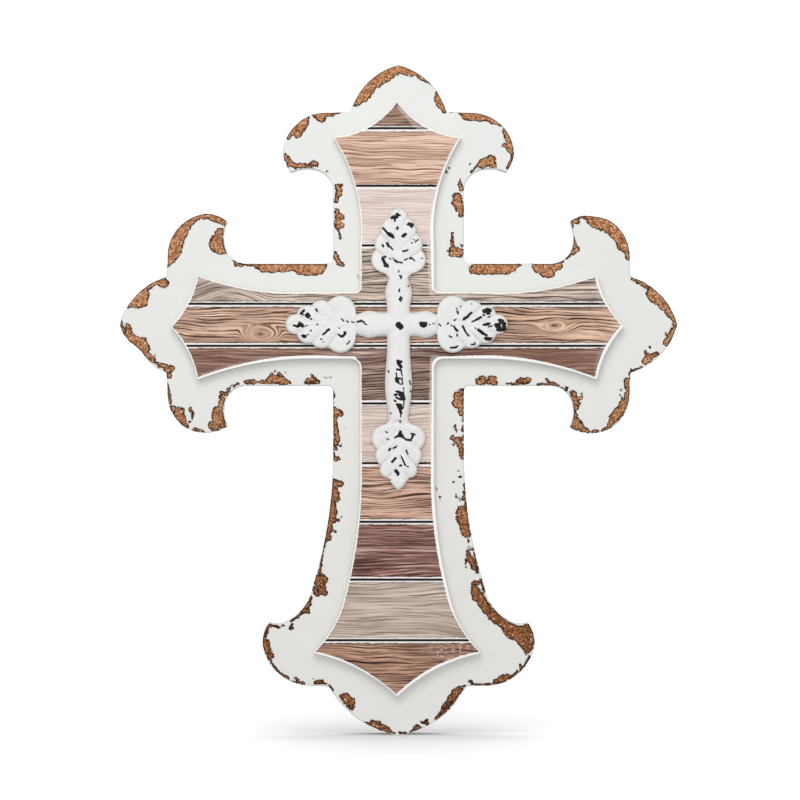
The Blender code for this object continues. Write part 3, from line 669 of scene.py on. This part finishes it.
def shell(name, place, depth, attributes, front_cap):
    """A mesh of the grid place[row, column], x + 1j * z, at this depth, closed round its columns.

    Rows run from the back round the edge to the middle of the front. The first row is closed by a flat face,
    and so is the last where front_cap is set. Without it, both halves of each arm meet in the last row, and
    its doubles are merged.
    """
    rows, columns = place.shape
    points = np.empty((rows * columns, 3))
    points[:, 0] = place.real.ravel() * MM
    points[:, 1] = -depth.ravel() * MM
    points[:, 2] = (place.imag.ravel() + CROSSING) * MM
    row = np.arange(rows - 1)[:, None] * columns
    here = np.arange(columns)[None, :]
    after = (here + 1) % columns
    faces = np.stack([row + here, row + after, row + columns + after, row + columns + here], -1)
    faces = faces.reshape(-1, 4)[:, ::-1].tolist()
    faces.append(list(range(columns)))
    if front_cap:
        faces.append(list(range((rows - 1) * columns, rows * columns))[::-1])
    mesh = bpy.data.meshes.new(name)
    mesh.from_pydata(points, [], faces)
    for key, values in attributes.items():
        layer = mesh.attributes.new(key, "FLOAT", "POINT")
        layer.data.foreach_set("value", values.ravel().astype(np.float32))
    body = bmesh.new()
    body.from_mesh(mesh)
    bmesh.ops.remove_doubles(body, verts=body.verts, dist=1e-6)
    bmesh.ops.recalc_face_normals(body, faces=body.faces)
    if body.calc_volume(signed=True) < 0:
        bmesh.ops.reverse_faces(body, faces=body.faces)
    body.to_mesh(mesh)
    body.free()
    mesh.shade_smooth()
    mesh.set_sharp_from_angle(angle=np.radians(SHARP_TURN))
    obj = bpy.data.objects.new(name, mesh)
    bpy.context.scene.collection.objects.link(obj)
    return obj


def board_surface(outline, base, thickness, ease, fine_rows, rest_rows):
    """(place, depth, inset, tilt, out) of a board: its side, its eased arris and its face, row by row.

    inset is the way in from the silhouette: square to the outline at first, and then straight to the base in
    fine rows of a fixed way, or 0.85 of the whole way where that is less, and in rest_rows that share what is
    left. tilt is 0 where the surface faces sideways and 1 where it faces the viewer, and the arris is a
    quarter circle between them. out is the way outward. The row at the back lies 0.3 mm in, so that the
    back's edge is bevelled.
    """
    out = outward(outline)
    turn = np.radians([22.5, 45, 67.5, 90])
    sides = np.minimum(thickness * np.array([0.0, 0.03, 0.25, 0.5, 0.75, 1.0]), thickness - ease)
    flat = np.full(len(fine_rows) + rest_rows, thickness)
    insets = np.concatenate([[0.3], np.zeros(5), ease * (1 - np.cos(turn)), fine_rows])
    insets = np.append(insets, np.full(rest_rows, fine_rows[-1]))
    depths = np.concatenate([sides, thickness - ease * (1 - np.sin(turn)), flat])
    tilts = np.concatenate([np.zeros(6), np.sin(turn), np.ones(len(flat))])
    rest = np.zeros(len(insets))
    rest[len(insets) - rest_rows :] = np.arange(1, rest_rows + 1) / rest_rows

    start = outline - out * ease
    reach = np.abs(base - start)
    ahead = (base - start) / reach * np.minimum(1, 0.85 * reach / (fine_rows[-1] - ease))
    near = outline - out * np.minimum(insets, ease)[:, None] + ahead * np.maximum(insets - ease, 0)[:, None]
    place = near + (base - near) * rest[:, None]
    depth, inset, tilt = (np.broadcast_to(row[:, None], place.shape) for row in (depths, insets, tilts))
    return place, depth, inset, tilt, out


def to_chips(place, inset, depth, out):
    """How far each place of the board is from the nearest chip's edge, negative inside it.

    It is the distance to the chips' strokes, with noise that makes them ragged, and less near the arris. A
    strip of paint is kept along the arris where it faces down, and a narrower one where it faces right.
    """
    chip = to_strokes(place, CHIPS, (BOARD_THICKNESS - depth) * 0.8) + 0.22 * noise(place, 2.4, 11)
    chip = chip - 0.3 * smoothstep(-inset, -2.2, -0.9)
    kept = 0.4 * smoothstep(-out.imag, 0.93, 0.99) + 0.15 * smoothstep(out.real, 0.9, 0.99)
    return np.clip(np.maximum(chip, 1.6 * (kept - inset) - 0.2), -4, 4)


def painted_board():
    """The base board. In a chip its surface steps in, square to itself, by the depth of a chip and noise."""
    top = half_end(REACH_TOP, UPPER_LEAF, HALF_SHAFT, UPPER_EDGE_ROWS)
    side = half_end(REACH_SIDE, UPPER_LEAF, HALF_ARM, UPPER_EDGE_ROWS)
    foot = half_end(REACH_FOOT, FOOT_LEAF, HALF_SHAFT, FOOT_EDGE_ROWS)
    corners = [inner_corner(HALF_SHAFT, HALF_ARM, BOARD_CORNER_BASE, BOARD_CORNER, sign) for sign in (1, -1)]
    path = cross_path(top, side, side, foot, corners)
    outline, base = paced(path, round(way_round(path) / BOARD_PACE))
    outline = strayed(softened(outline, BOARD_ROUNDING))
    place, depth, inset, tilt, out = board_surface(
        outline, base, BOARD_THICKNESS, BOARD_EASE, BOARD_FINE_ROWS, BOARD_REST_ROWS
    )

    chip = to_chips(place, inset, depth, out)
    hollow = smoothstep(-chip, -0.15, 0.35) * (CHIP_DEPTH + 0.07 * noise(place, 0.9, 23))
    place = place - out * hollow * np.sqrt(1 - tilt**2)
    depth = depth - hollow * tilt
    return shell("painted_board", place, depth, {"chip": chip, "inset": inset}, True)


def printed_panel():
    """The raised panel: its rim, its eased arris and its flat printed face.

    facing_right is how far the nearest edge faces right. wide is 1 where it faces right or down, where the
    white rim is wider, and 0 elsewhere.
    """
    corners = [
        inner_corner(PANEL_HALF_SHAFT, PANEL_HALF_ARM_ABOVE, PANEL_CORNER_BASE, PANEL_CORNER_ABOVE, 1),
        inner_corner(PANEL_HALF_SHAFT, PANEL_HALF_ARM_BELOW, PANEL_CORNER_BASE, PANEL_CORNER_BELOW, -1),
    ]
    path = cross_path(
        half_end(PANEL_REACH_TOP, PANEL_TOP),
        half_end(PANEL_REACH_SIDE, PANEL_UPPER),
        half_end(PANEL_REACH_SIDE, PANEL_LOWER),
        half_end(PANEL_REACH_FOOT, PANEL_FOOT),
        corners,
    )
    outline, base = paced(path, round(way_round(path) / PANEL_PACE))
    outline = softened(outline, PANEL_ROUNDING)
    place, depth, inset, _, out = board_surface(
        outline, base, PANEL_THICKNESS, PANEL_EASE, PANEL_FINE_ROWS, PANEL_REST_ROWS
    )
    facing_right = np.broadcast_to(np.maximum(out.real, 0), place.shape)
    wide = np.broadcast_to(smoothstep(out.real - out.imag, 0.2, 0.9), place.shape)
    depth = depth + BOARD_THICKNESS + GAP
    attributes = {"inset": inset, "facing_right": facing_right, "wide": wide}
    return shell("printed_panel", place + PANEL_SHIFT, depth, attributes, True)


def metal_half_arm(reach, leaf):
    """Rows (outline, base, lobe) of half an arm from the crossing's corner to its tip, along + 1j * across.

    The arm's half width is a taper from the crossing to the neck plus a swell sin(pi s^1.3)^2 between them.
    lobe counts the leaf's lobes along its edge from 0, and rises from -1 to 0 on the arm.
    """
    neck = reach - METAL_LEAF
    share = np.linspace(0, 1, round(neck / 0.25))
    swell = np.sin(np.pi * share**1.3) ** 2
    half = METAL_HALF_CROSSING + (METAL_HALF_NECK - METAL_HALF_CROSSING) * share
    half = half + (METAL_HALF_SWELL - METAL_HALF_CROSSING) * swell
    outline = [METAL_HALF_CROSSING + (neck - METAL_HALF_CROSSING) * share + 1j * half]
    base = [(neck + leaf[0][3]) * share]
    lobe = [share - 1]
    for (_, _, _, base_start, lobe_start), (along, across, rise, base_end, lobe_end) in zip(leaf, leaf[1:]):
        points = arc(outline[-1][-1], neck + along + 1j * across, rise, 0.1)
        shares = np.arange(1, len(points) + 1) / len(points)
        outline.append(points)
        base.append(neck + base_start + (base_end - base_start) * shares)
        lobe.append(lobe_start + (lobe_end - lobe_start) * shares)
    return np.array([np.concatenate(row) for row in (outline, base, lobe)])


def metal_path():
    """(outline, base, lobe) all round the cast cross, clockwise, with its base on the axes.

    Both halves of an arm are read at the same places, so that they meet on its axis.
    """
    pieces = []
    for turn, reach, leaf, back in METAL_HALF_ARMS:
        half = metal_half_arm(reach, leaf)
        outline, base, lobe = paced(half, round(way_round(half) / METAL_PACE), closed=False)
        if back:
            outline, base, lobe = outline.conj()[::-1], base.conj()[::-1], lobe[::-1]
        pieces.append(np.array([turn * outline, turn * base, lobe])[:, 1:])
    outline, base, lobe = np.concatenate(pieces, axis=1)
    return outline, base, lobe.real


def metal_relief(inset_share, length, lobe):
    """How high the casting stands over its edge, in millimetres.

    inset_share is 0 on the axis and 1 at the edge, length is the way between them. The arms are half rounds.
    A leaf rises steeply from its edge to a rounded plateau. A groove runs in from each notch towards the
    midrib, a raised vein runs up the middle of each lobe, and the midrib stands up between two hollows. Rib,
    vein and hollows are bell curves exp(-(way / width)^2), and a groove is (1 - the sine of the lobe)^4.
    """
    on_leaf = smoothstep(lobe, -0.12, 0.25)
    from_edge = (1 - inset_share) * length
    roll = np.sqrt(np.clip(1 - (1 - np.clip(from_edge / 1.7, 0, 1)) ** 2, 0, 1))
    phase = np.where(lobe > 3, lobe - 3, lobe % 1)
    ridge = np.sin(np.pi * phase)
    lobed = 2.1 + 0.7 * ridge**0.7 * np.sin(np.pi * np.clip(inset_share, 0, 1)) ** 0.6
    groove = (1 - ridge) ** 4 * smoothstep(inset_share, 0.3, 0.7)
    vein = 0.25 * np.exp(-(((phase - 0.5) / 0.13) ** 2)) * np.sin(np.pi * inset_share) ** 0.7
    from_axis = inset_share * length
    rib = 0.3 * np.exp(-((from_axis / 0.9) ** 2)) - 0.2 * np.exp(-(((from_axis - 2.2) / 0.9) ** 2))
    leaf = roll * (lobed + vein + rib) - groove * roll
    round_arm = METAL_ARM_RELIEF * np.sqrt(np.clip(1 - (0.985 * inset_share) ** 2.4, 0, 1))
    crest = 0.12 * np.exp(-((from_axis / 1.1) ** 2))
    return leaf * on_leaf + (round_arm + crest) * (1 - on_leaf)


def cast_cross():
    """The small cast cross: its flat back, its edge and its relief, uneven by a little noise on the leaves.

    Its rows run straight from the outline to the axes, closer together near the axes, by a share s^1.2.
    """
    outline, base, lobe = metal_path()
    outline = softened(outline, METAL_ROUNDING)
    shares = 1 - np.linspace(0, 1, METAL_ROWS + 1)[:, None] ** 1.2
    front = base + (outline - base) * shares
    relief = METAL_EDGE + metal_relief(shares, np.abs(outline - base), lobe)
    uneven = 0.2 * noise(front, 2.4, 31) + 0.08 * noise(front, 1.0, 57, 1)
    relief = relief + uneven * smoothstep(lobe, -0.1, 0.2) * (1 - shares**6)

    place = np.concatenate([[outline - 0.15 * outward(outline), outline], front])
    back = np.zeros((2, len(outline)))
    back[1] = 0.2
    depth = np.concatenate([back, relief]) + BOARD_THICKNESS + PANEL_THICKNESS + 2 * GAP
    return shell("cast_cross", place, depth, {"rub": to_strokes(place, RUBBED)}, False)


class Socket:
    """A number or vector in a finish. Arithmetic on it, and the methods named for it, add Math nodes."""

    def __init__(self, finish, link):
        self.finish = finish
        self.link = link

    def math(self, operation, *values):
        """A Math node of this operation on the values, in their order."""
        return self.finish.node("ShaderNodeMath", {"operation": operation}, dict(enumerate(values)))

    def __add__(self, other):
        return self.math("ADD", self, other)

    def __sub__(self, other):
        return self.math("SUBTRACT", self, other)

    def __mul__(self, other):
        return self.math("MULTIPLY", self, other)

    def __truediv__(self, other):
        return self.math("DIVIDE", self, other)

    def __rsub__(self, other):
        return self.math("SUBTRACT", other, self)

    __radd__ = __add__
    __rmul__ = __mul__

    def least(self, other):
        """The lesser of the two."""
        return self.math("MINIMUM", self, other)

    def most(self, other):
        """The greater of the two."""
        return self.math("MAXIMUM", self, other)

    def under(self, other):
        """1 where it is less than the other, and 0 elsewhere."""
        return self.math("LESS_THAN", self, other)

    def size(self):
        """Its distance from 0."""
        return self.math("ABSOLUTE", self)

    def root(self):
        """Its square root."""
        return self.math("SQRT", self)

    def fraction(self):
        """What is left of it above the next lower whole number."""
        return self.math("FRACT", self)


class Finish:
    """A material in the making, on millimetres of the Object coordinates."""

    def __init__(self, name, **constants):
        self.material = bpy.data.materials.new(name)
        self.material.use_nodes = True
        self.tree = self.material.node_tree
        self.shader = self.tree.nodes["Principled BSDF"]
        for key, value in constants.items():
            self.shader.inputs[key.replace("_", " ")].default_value = value
        coordinates = self.node("ShaderNodeTexCoord", {}, {}, "Object")
        scaled = {0: coordinates, "Scale": 1 / MM}
        self.place = self.node("ShaderNodeVectorMath", {"operation": "SCALE"}, scaled)

    def node(self, kind, settings, inputs, output=0):
        """Any node: its settings first, then its sockets, given as values or as links."""
        made = self.tree.nodes.new(kind)
        for key, value in settings.items():
            if key == "stops":
                self.set_stops(made.color_ramp, value)
            else:
                setattr(made, key, value)
        for key, value in inputs.items():
            if isinstance(value, Socket):
                self.tree.links.new(value.link, made.inputs[key])
            else:
                made.inputs[key].default_value = value
        return Socket(self, made.outputs[output])

    def set_stops(self, ramp, stops):
        """A ramp of flat steps, each a place from 0 to 1 and the colour from there on."""
        ramp.interpolation = "CONSTANT"
        while len(ramp.elements) < len(stops):
            ramp.elements.new(1.0)
        for element, (place, colour) in zip(ramp.elements, stops):
            element.position = place
            element.color = (*colour, 1.0)

    def axes(self):
        """x, y and z in millimetres, with z counted from the middle of the crossing."""
        x, y, z = (self.node("ShaderNodeSeparateXYZ", {}, {0: self.place}, index) for index in range(3))
        return x, y, z - CROSSING

    def vector(self, x, y, z):
        """A place from its three numbers."""
        return self.node("ShaderNodeCombineXYZ", {}, {0: x, 1: y, 2: z})

    def noise(self, place, scale, detail=2.0, roughness=0.5, distortion=0.0):
        """Smooth noise of about 0.2 to 0.8 round 0.5, in waves 1 / scale wide, with detail finer octaves."""
        values = {
            "Vector": place,
            "Scale": scale,
            "Detail": detail,
            "Roughness": roughness,
            "Distortion": distortion,
        }
        return self.node("ShaderNodeTexNoise", {}, values)

    def cells(self, place, scale):
        """A random number from 0 to 1 for each cell, 1 / scale wide."""
        values = {"Vector": place, "Scale": scale}
        colour = self.node("ShaderNodeTexVoronoi", {}, values, "Color")
        return self.node("ShaderNodeSeparateColor", {}, {0: colour})

    def step(self, value, low, high):
        """Smoothstep from 0 at low to 1 at high."""
        values = {"Value": value, "From Min": low, "From Max": high}
        return self.node("ShaderNodeMapRange", {"interpolation_type": "SMOOTHSTEP"}, values)

    def mix(self, share, first, second):
        """first where share is 0 and second where it is 1, as colours."""
        values = {0: share, 6: opaque(first), 7: opaque(second)}
        return self.node("ShaderNodeMix", {"data_type": "RGBA"}, values, 2)

    def attribute(self, name):
        """A number that the mesh gives at each point."""
        return self.node("ShaderNodeAttribute", {"attribute_name": name}, {}, "Fac")

    def bump(self, height):
        """A normal from a height in millimetres."""
        return self.node("ShaderNodeBump", {}, {"Strength": 1.0, "Distance": MM, "Height": height})

    def set(self, **links):
        """Links these to the shader's sockets of the same names, and gives the material."""
        for key, value in links.items():
            self.tree.links.new(value.link, self.shader.inputs[key.replace("_", " ")])
        return self.material


def opaque(colour):
    """A colour with its alpha of 1 behind it, or a link as it is."""
    return colour if isinstance(colour, Socket) else (*colour, 1.0)


def chipped_paint():
    """Off-white paint, chipped through to brown fibreboard with a dark ragged rim. The back is bare board.

    Fine noise and random flakes fray the edge of a chip. Its rim is dark, painted shade along the paint's
    edge that stands over the bare board, and so is the arris in it. The bare board is a mix of dark and light
    by a random number for each grain, with blotches and a few pale flecks. Paint and bare board are painted
    lighter towards the top, as light that falls from above.
    """
    finish = Finish("chipped_paint", Specular_IOR_Level=0.14)
    place = finish.place
    _, y, z = finish.axes()
    fine = finish.noise(place, 1.3, 4.0, 0.65)
    flakes = finish.cells(place, 0.85)
    chip = finish.attribute("chip") + (fine - 0.5) * 1.2 + (flakes - 0.5) * 0.75
    bare = finish.step(chip, 0.08, -0.08)
    grains = finish.cells(place, 1.5)
    front = finish.step(y, 2.2 - BOARD_THICKNESS, 1.2 - BOARD_THICKNESS)
    arris = finish.step(finish.attribute("inset"), 1.0, 0.5) * finish.step(grains, 0.15, 0.4) * front
    # Painted shade: a dark rim just inside each chip's edge, together with the arris in it
    rim = finish.step(chip - (1.0 - front) * 0.55, -0.95, -0.5).most(arris) * bare

    blotches = finish.noise(place, 0.6, 3.0, 0.6)
    # Painted light: the bare board is lighter towards the top, as if lit from above
    upward = finish.step(z, -170.0, 20.0)
    dark = finish.mix(upward, *BARE_DARK)
    light = finish.mix(upward, *BARE_LIGHT)
    board = finish.mix(finish.step(grains + (blotches - 0.5) * 1.2, 0.05, 0.95), dark, light)
    board = finish.mix(finish.step(grains, 0.97, 0.985), board, BARE_FLECK)
    board = finish.mix(rim * 0.95, board, BARE_RIM_SHADE_AND_ARRIS)

    mottle = finish.noise(place, 0.05, 3.0, 0.6)
    paint = finish.mix(finish.step(mottle, 0.3, 0.7), *PAINT_MOTTLE)
    # Painted light: the paint is lighter towards the top, as if lit from above
    paint = finish.mix(finish.step(z, -120.0, 110.0), paint, PAINT_TOP_PAINTED_LIGHT)
    back = finish.step(y + (fine - 0.5) * 1.2, -0.55, -0.25)
    bare_or_back = bare.most(back)
    colour = finish.mix(bare_or_back, paint, board)
    rough = 0.58 + bare_or_back * 0.3
    height = fine * 0.02 + bare * grains * 0.12
    return finish.set(Base_Color=colour, Roughness=rough, Normal=finish.bump(height))


def by_plank(finish, number, column):
    """One column of the planks' table, as a ramp with an even step for each plank. Its link is a colour."""
    count = len(PLANKS)
    stops = [(index / count, np.broadcast_to(plank[column], 3)) for index, plank in enumerate(PLANKS)]
    return finish.node("ShaderNodeValToRGB", {"stops": stops}, {0: (number + 0.5) / count})


def plank_joints(finish, x, z):
    """(number, joint, edged): the plank's number, and the ways to the nearest joint and to its white edges.

    The number is how many joints lie above the place. Each way is the least of the heights over or under a
    joint: those to the joint itself waver a little, and those to its white edges lean up or down.
    """
    number = 0.0
    joint = 99.0
    edged = 99.0
    ragged = (finish.noise(finish.vector(x * 0.35, 0.0, z * 0.1), 1.0, 2.0) - 0.5) * 0.7
    for height, lean in JOINTS:
        number = z.under(height) + number
        over = z - height
        joint = (over + ragged * 0.3).size().least(joint)
        edged = (over - lean).size().least(edged)
    return number, joint, edged


def bent_grain(finish, x, z):
    """(bent, ringed, core): the height that the grain follows, and how far a place is in a knot and its core.

    Slow noise bends the height. In a knot it turns into the way sqrt(across^2 + over^2) from the knot's
    middle, so that the grain runs in rings. A hump at the left of the arms' upper plank arches it.
    """
    slow = finish.noise(finish.vector(x * 0.012, 0.0, z * 0.03), 1.0, 2.0)
    bent = z + (slow - 0.5) * 14
    ringed = 0.0
    core = 0.0
    for knot_x, knot_z, wide, tall, darkness in KNOTS:
        across = (x - knot_x) / wide
        over = (z - knot_z) / tall
        away = (across * across + over * over).root()
        near = finish.step(away, 1.0, 0.3)
        bent = bent + (away * (tall * 0.72) - bent) * near
        ringed = near + ringed
        core = finish.step(away, 0.36, 0.1) * darkness + core
    hump = finish.step(x, -128.0, -94.0) * finish.step(x, -64.0, -90.0) * finish.step(z, 11.0, 12.5)
    return bent - hump * 7.0, ringed, core


def planks(finish, x, z, number):
    """(colour, dark, contrast, deep): the planks with their grain, its darkness, its strength and its colour.

    The grain is stretched along the plank. Its lines are where a wandering saw-tooth of the bent height
    peaks, broken by noise, and its hairs are where finer noise is high. Pale hairs lie under them, and slow
    dark bands over them. The arms' lowest plank is browner.
    """
    # Times 1, the ramp's colour is a number
    contrast = by_plank(finish, number, 2) * 1.0
    bent, ringed, core = bent_grain(finish, x, z)
    wander = finish.noise(finish.vector(x * 0.012, number * 7.3, bent * 0.09), 1.0, 2.0)
    line = ((bent * 0.6 + wander * 5.0).fraction() - 0.5).size() * 2
    broken = finish.noise(finish.vector(x * 0.03, number * 3.1, bent * 0.5), 1.0, 3.0, 0.6)
    hair = finish.noise(finish.vector(x * 0.035, number * 1.7, bent * 1.5), 1.0, 4.0, 0.65, 0.2)
    lines = finish.step(line + (broken - 0.5) * 2.0, 0.70, 0.92)
    heavy = finish.step(z, 1.5, 4.5) * finish.step(z, 10.5, 10.0)
    lines = lines * (1.0 - ringed * 0.72) * (0.85 + heavy * 0.5)
    dark = lines + finish.step(hair, 0.49, 0.59) * (1.0 - ringed * 0.3) * 0.72 + core
    dark = (dark * contrast).least(1.0)

    deep = by_plank(finish, number, 1)
    pale = finish.step(hair, 0.44, 0.34) * contrast * 0.6
    colour = finish.mix(pale, by_plank(finish, number, 0), PRINT_HIGHLIGHT)
    colour = finish.mix(dark, colour, deep)
    band = finish.noise(finish.vector(x * 0.012, number * 5.0, bent * 0.2), 1.0, 2.0)
    colour = finish.mix(finish.step(band, 0.40, 0.66) * contrast * 0.45, colour, deep)
    arms = finish.step(x.size(), 16.0, 60.0) * finish.step(z, -11.0, -11.5)
    return finish.mix(arms * 0.5, colour, PRINT_ARM_TINT), dark, contrast, deep


def scratched(finish, x, z):
    """How far a place is in the scratches on the last plank: noise that is cut off, in an ellipse."""
    across, over = (x - 29.0) / 15.0, (z + 174.0) / 7.0
    patch = finish.step(across * across + over * over, 1.0, 0.4)
    return patch * finish.step(finish.noise(finish.vector(x * 0.5, 0.0, z * 1.5), 1.0, 2.0), 0.55, 0.63)


def plank_print():
    """The print: eleven planks with white edges and black joints, scratches, haze, and a white rim round it.

    The joints' white edges fray by noise that is stretched along the plank. The haze lies along the edge that
    faces right, on the shaft's upper part and the arms. The rim is wider where the edge faces right or down.
    """
    finish = Finish("plank_print", Specular_IOR_Level=0.12)
    x, y, z = finish.axes()
    number, joint, edged = plank_joints(finish, x, z)
    colour, dark, contrast, deep = planks(finish, x, z, number)
    colour = finish.mix(scratched(finish, x, z) * 0.7, colour, PRINT_SCRATCH)

    frayed = edged + (finish.noise(finish.vector(x * 0.22, number, z * 0.5), 1.0, 3.0, 0.7) - 0.5) * 1.7
    colour = finish.mix(finish.step(frayed, 2.5, 1.5) * contrast * 0.55, colour, deep)
    colour = finish.mix(finish.step(frayed, 1.5, 1.25) * 0.95, colour, JOINT_WHITE)
    colour = finish.mix(finish.step(joint, 0.74, 0.50), colour, JOINT_BLACK)

    inset = finish.attribute("inset")
    wavy = (finish.noise(finish.place, 0.25, 2.0) - 0.5) * 2.0
    haze = finish.attribute("facing_right") * finish.step(inset + wavy, 4.4, 3.2)
    haze = haze * finish.step(z, -78.0, -66.0) * (finish.step(x, 75.0, 45.0) * 0.4 + 0.15)
    colour = finish.mix(haze, colour, PRINT_HAZE)

    rag = inset + (finish.noise(finish.place, 0.9, 3.0) - 0.5) * 0.9 - finish.attribute("wide") * 0.95
    printed = finish.step(rag, 0.7, 1.0)
    colour = finish.mix(printed, PANEL_WHITE, colour)
    back = finish.step(y, -(BOARD_THICKNESS + GAP + 0.3), -(BOARD_THICKNESS + GAP))
    colour = finish.mix(back, colour, PANEL_BACK)
    height = dark * printed * 0.03
    return finish.set(Base_Color=colour, Roughness=0.6 - printed * 0.12, Normal=finish.bump(height))


def rubbed_paint():
    """White paint on cast metal, rubbed through to black where its ridges stand out.

    Noise frays the rubbed marks, slow noise mottles the paint, and small specks lie in patches.
    """
    finish = Finish("rubbed_paint", Specular_IOR_Level=0.16)
    place = finish.place
    fine = finish.noise(place, 1.5, 3.0, 0.6)
    rub = finish.attribute("rub") + (fine - 0.5) * 1.1
    black = finish.step(rub, 0.1, -0.12)
    mottle = finish.noise(place, 0.35, 3.0, 0.6)
    paint = finish.mix(finish.step(mottle, 0.3, 0.7), *METAL_MOTTLE)
    patches = finish.step(finish.noise(place, 0.13, 2.0), 0.5, 0.6)
    specks = finish.step(finish.noise(place, 1.7, 2.0, 0.5), 0.66, 0.70) * patches
    colour = finish.mix(specks * 0.6, paint, METAL_SPECK)
    colour = finish.mix(black, colour, METAL_BLACK)
    return finish.set(Base_Color=colour, Roughness=0.42 - black * 0.08, Normal=finish.bump(fine * 0.06))


def ground():
    """The pale floor: an even square grid, level with the foot, that throws no light on the cross."""
    side = np.linspace(-FLOOR_HALF, FLOOR_HALF, FLOOR_CELLS + 1)
    x, y = np.meshgrid(side, side)
    points = np.stack([x, y, np.full_like(x, FOOT)], -1).reshape(-1, 3)
    row, column = np.meshgrid(np.arange(FLOOR_CELLS), np.arange(FLOOR_CELLS), indexing="ij")
    first = row * len(side) + column
    faces = np.stack([first, first + 1, first + len(side) + 1, first + len(side)], -1).reshape(-1, 4)
    mesh = bpy.data.meshes.new("floor")
    mesh.from_pydata(points, [], faces.tolist())
    mesh.materials.append(Finish("pale_floor", Base_Color=opaque(FLOOR_COLOUR), Roughness=0.9).material)
    floor = bpy.data.objects.new("floor", mesh)
    floor.visible_diffuse = False
    floor.visible_glossy = False
    bpy.context.scene.collection.objects.link(floor)
    return floor


def surroundings():
    """White surroundings: bright behind the cross, dim at its sides, and nearly as bright in front of it.

    With y the way's share towards the back, the strength is a ramp that falls from the front's to the side's
    as y goes from -1 to 0, and another that rises from there to the back's as y goes from 0.2 to 0.7.
    """
    world = bpy.data.worlds.new("studio")
    bpy.context.scene.world = world
    world.use_nodes = True
    tree = world.node_tree
    background = tree.nodes["Background"]
    way = tree.nodes.new("ShaderNodeTexCoord")
    parts = tree.nodes.new("ShaderNodeSeparateXYZ")
    strength = tree.nodes.new("ShaderNodeMath")
    tree.links.new(way.outputs["Generated"], parts.inputs[0])
    ramps = ((-1.0, 0.0, FRONT_STRENGTH - SIDE_STRENGTH, 0.0), (0.2, 0.7, SIDE_STRENGTH, BACK_STRENGTH))
    for index, (low_y, high_y, start, end) in enumerate(ramps):
        ramp = tree.nodes.new("ShaderNodeMapRange")
        tree.links.new(parts.outputs["Y"], ramp.inputs["Value"])
        for key, value in (("From Min", low_y), ("From Max", high_y), ("To Min", start), ("To Max", end)):
            ramp.inputs[key].default_value = value
        tree.links.new(ramp.outputs[0], strength.inputs[index])
    tree.links.new(strength.outputs[0], background.inputs["Strength"])
    background.inputs["Color"].default_value = (1.0, 1.0, 1.0, 1.0)


def key_light():
    """One soft round light in front of the cross, above it on the left, turned towards its middle."""
    key = bpy.data.lights.new("key", "AREA")
    key.shape = "DISK"
    key.size = KEY_SIZE
    key.energy = KEY_POWER
    lamp = bpy.data.objects.new("key", key)
    lamp.location = KEY_PLACE
    lamp.visible_camera = False
    aim = np.array([0.0, 0.0, FOOT + KEY_AIM_HEIGHT]) - np.array(KEY_PLACE)
    pitch = np.arctan2(-aim[2], np.hypot(aim[0], aim[1]))
    turn = np.arctan2(aim[0], aim[1])
    lamp.rotation_euler = (np.pi / 2 - pitch, 0, -turn)
    bpy.context.scene.collection.objects.link(lamp)


def overhead_light(floor):
    """A wide light from overhead that only the floor receives: white in the open, and shaded at the foot."""
    sun = bpy.data.lights.new("overhead", "SUN")
    sun.energy = OVERHEAD_STRENGTH
    sun.angle = np.radians(OVERHEAD_ANGLE)
    overhead = bpy.data.objects.new("overhead", sun)
    overhead.light_linking.receiver_collection = bpy.data.collections.new("under_the_overhead")
    overhead.light_linking.receiver_collection.objects.link(floor)
    bpy.context.scene.collection.objects.link(overhead)


def camera():
    """Straight on, with the photograph's middle pixel in the middle of the frame.

    The lens is the sensor's width times the distance, over the width that the frame covers on the board.
    """
    middle = at_pixel(FRAME_PIXELS / 2, FRAME_PIXELS / 2)
    data = bpy.data.cameras.new("camera")
    data.sensor_width = SENSOR_WIDTH
    data.lens = SENSOR_WIDTH * CAMERA_DISTANCE / (FRAME_PIXELS * PIXEL * MM)
    made = bpy.data.objects.new("camera", data)
    back = CAMERA_DISTANCE + BOARD_THICKNESS * MM
    made.location = (middle.real * MM, -back, (middle.imag + CROSSING) * MM)
    made.rotation_euler = (np.pi / 2, 0, 0)
    bpy.context.scene.collection.objects.link(made)
    bpy.context.scene.camera = made


for piece, node, slot, material in (
    (painted_board(), "base_board", "distressed_white_paint", chipped_paint()),
    (printed_panel(), "raised_panel", "plank_print", plank_print()),
    (cast_cross(), "metal_cross", "rubbed_white_metal", rubbed_paint()),
):
    piece.data.materials.append(material)
    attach(piece, "root")
    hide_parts(node)

bpy.context.scene.view_settings.view_transform = "Standard"
surroundings()
key_light()
overhead_light(ground())
camera()
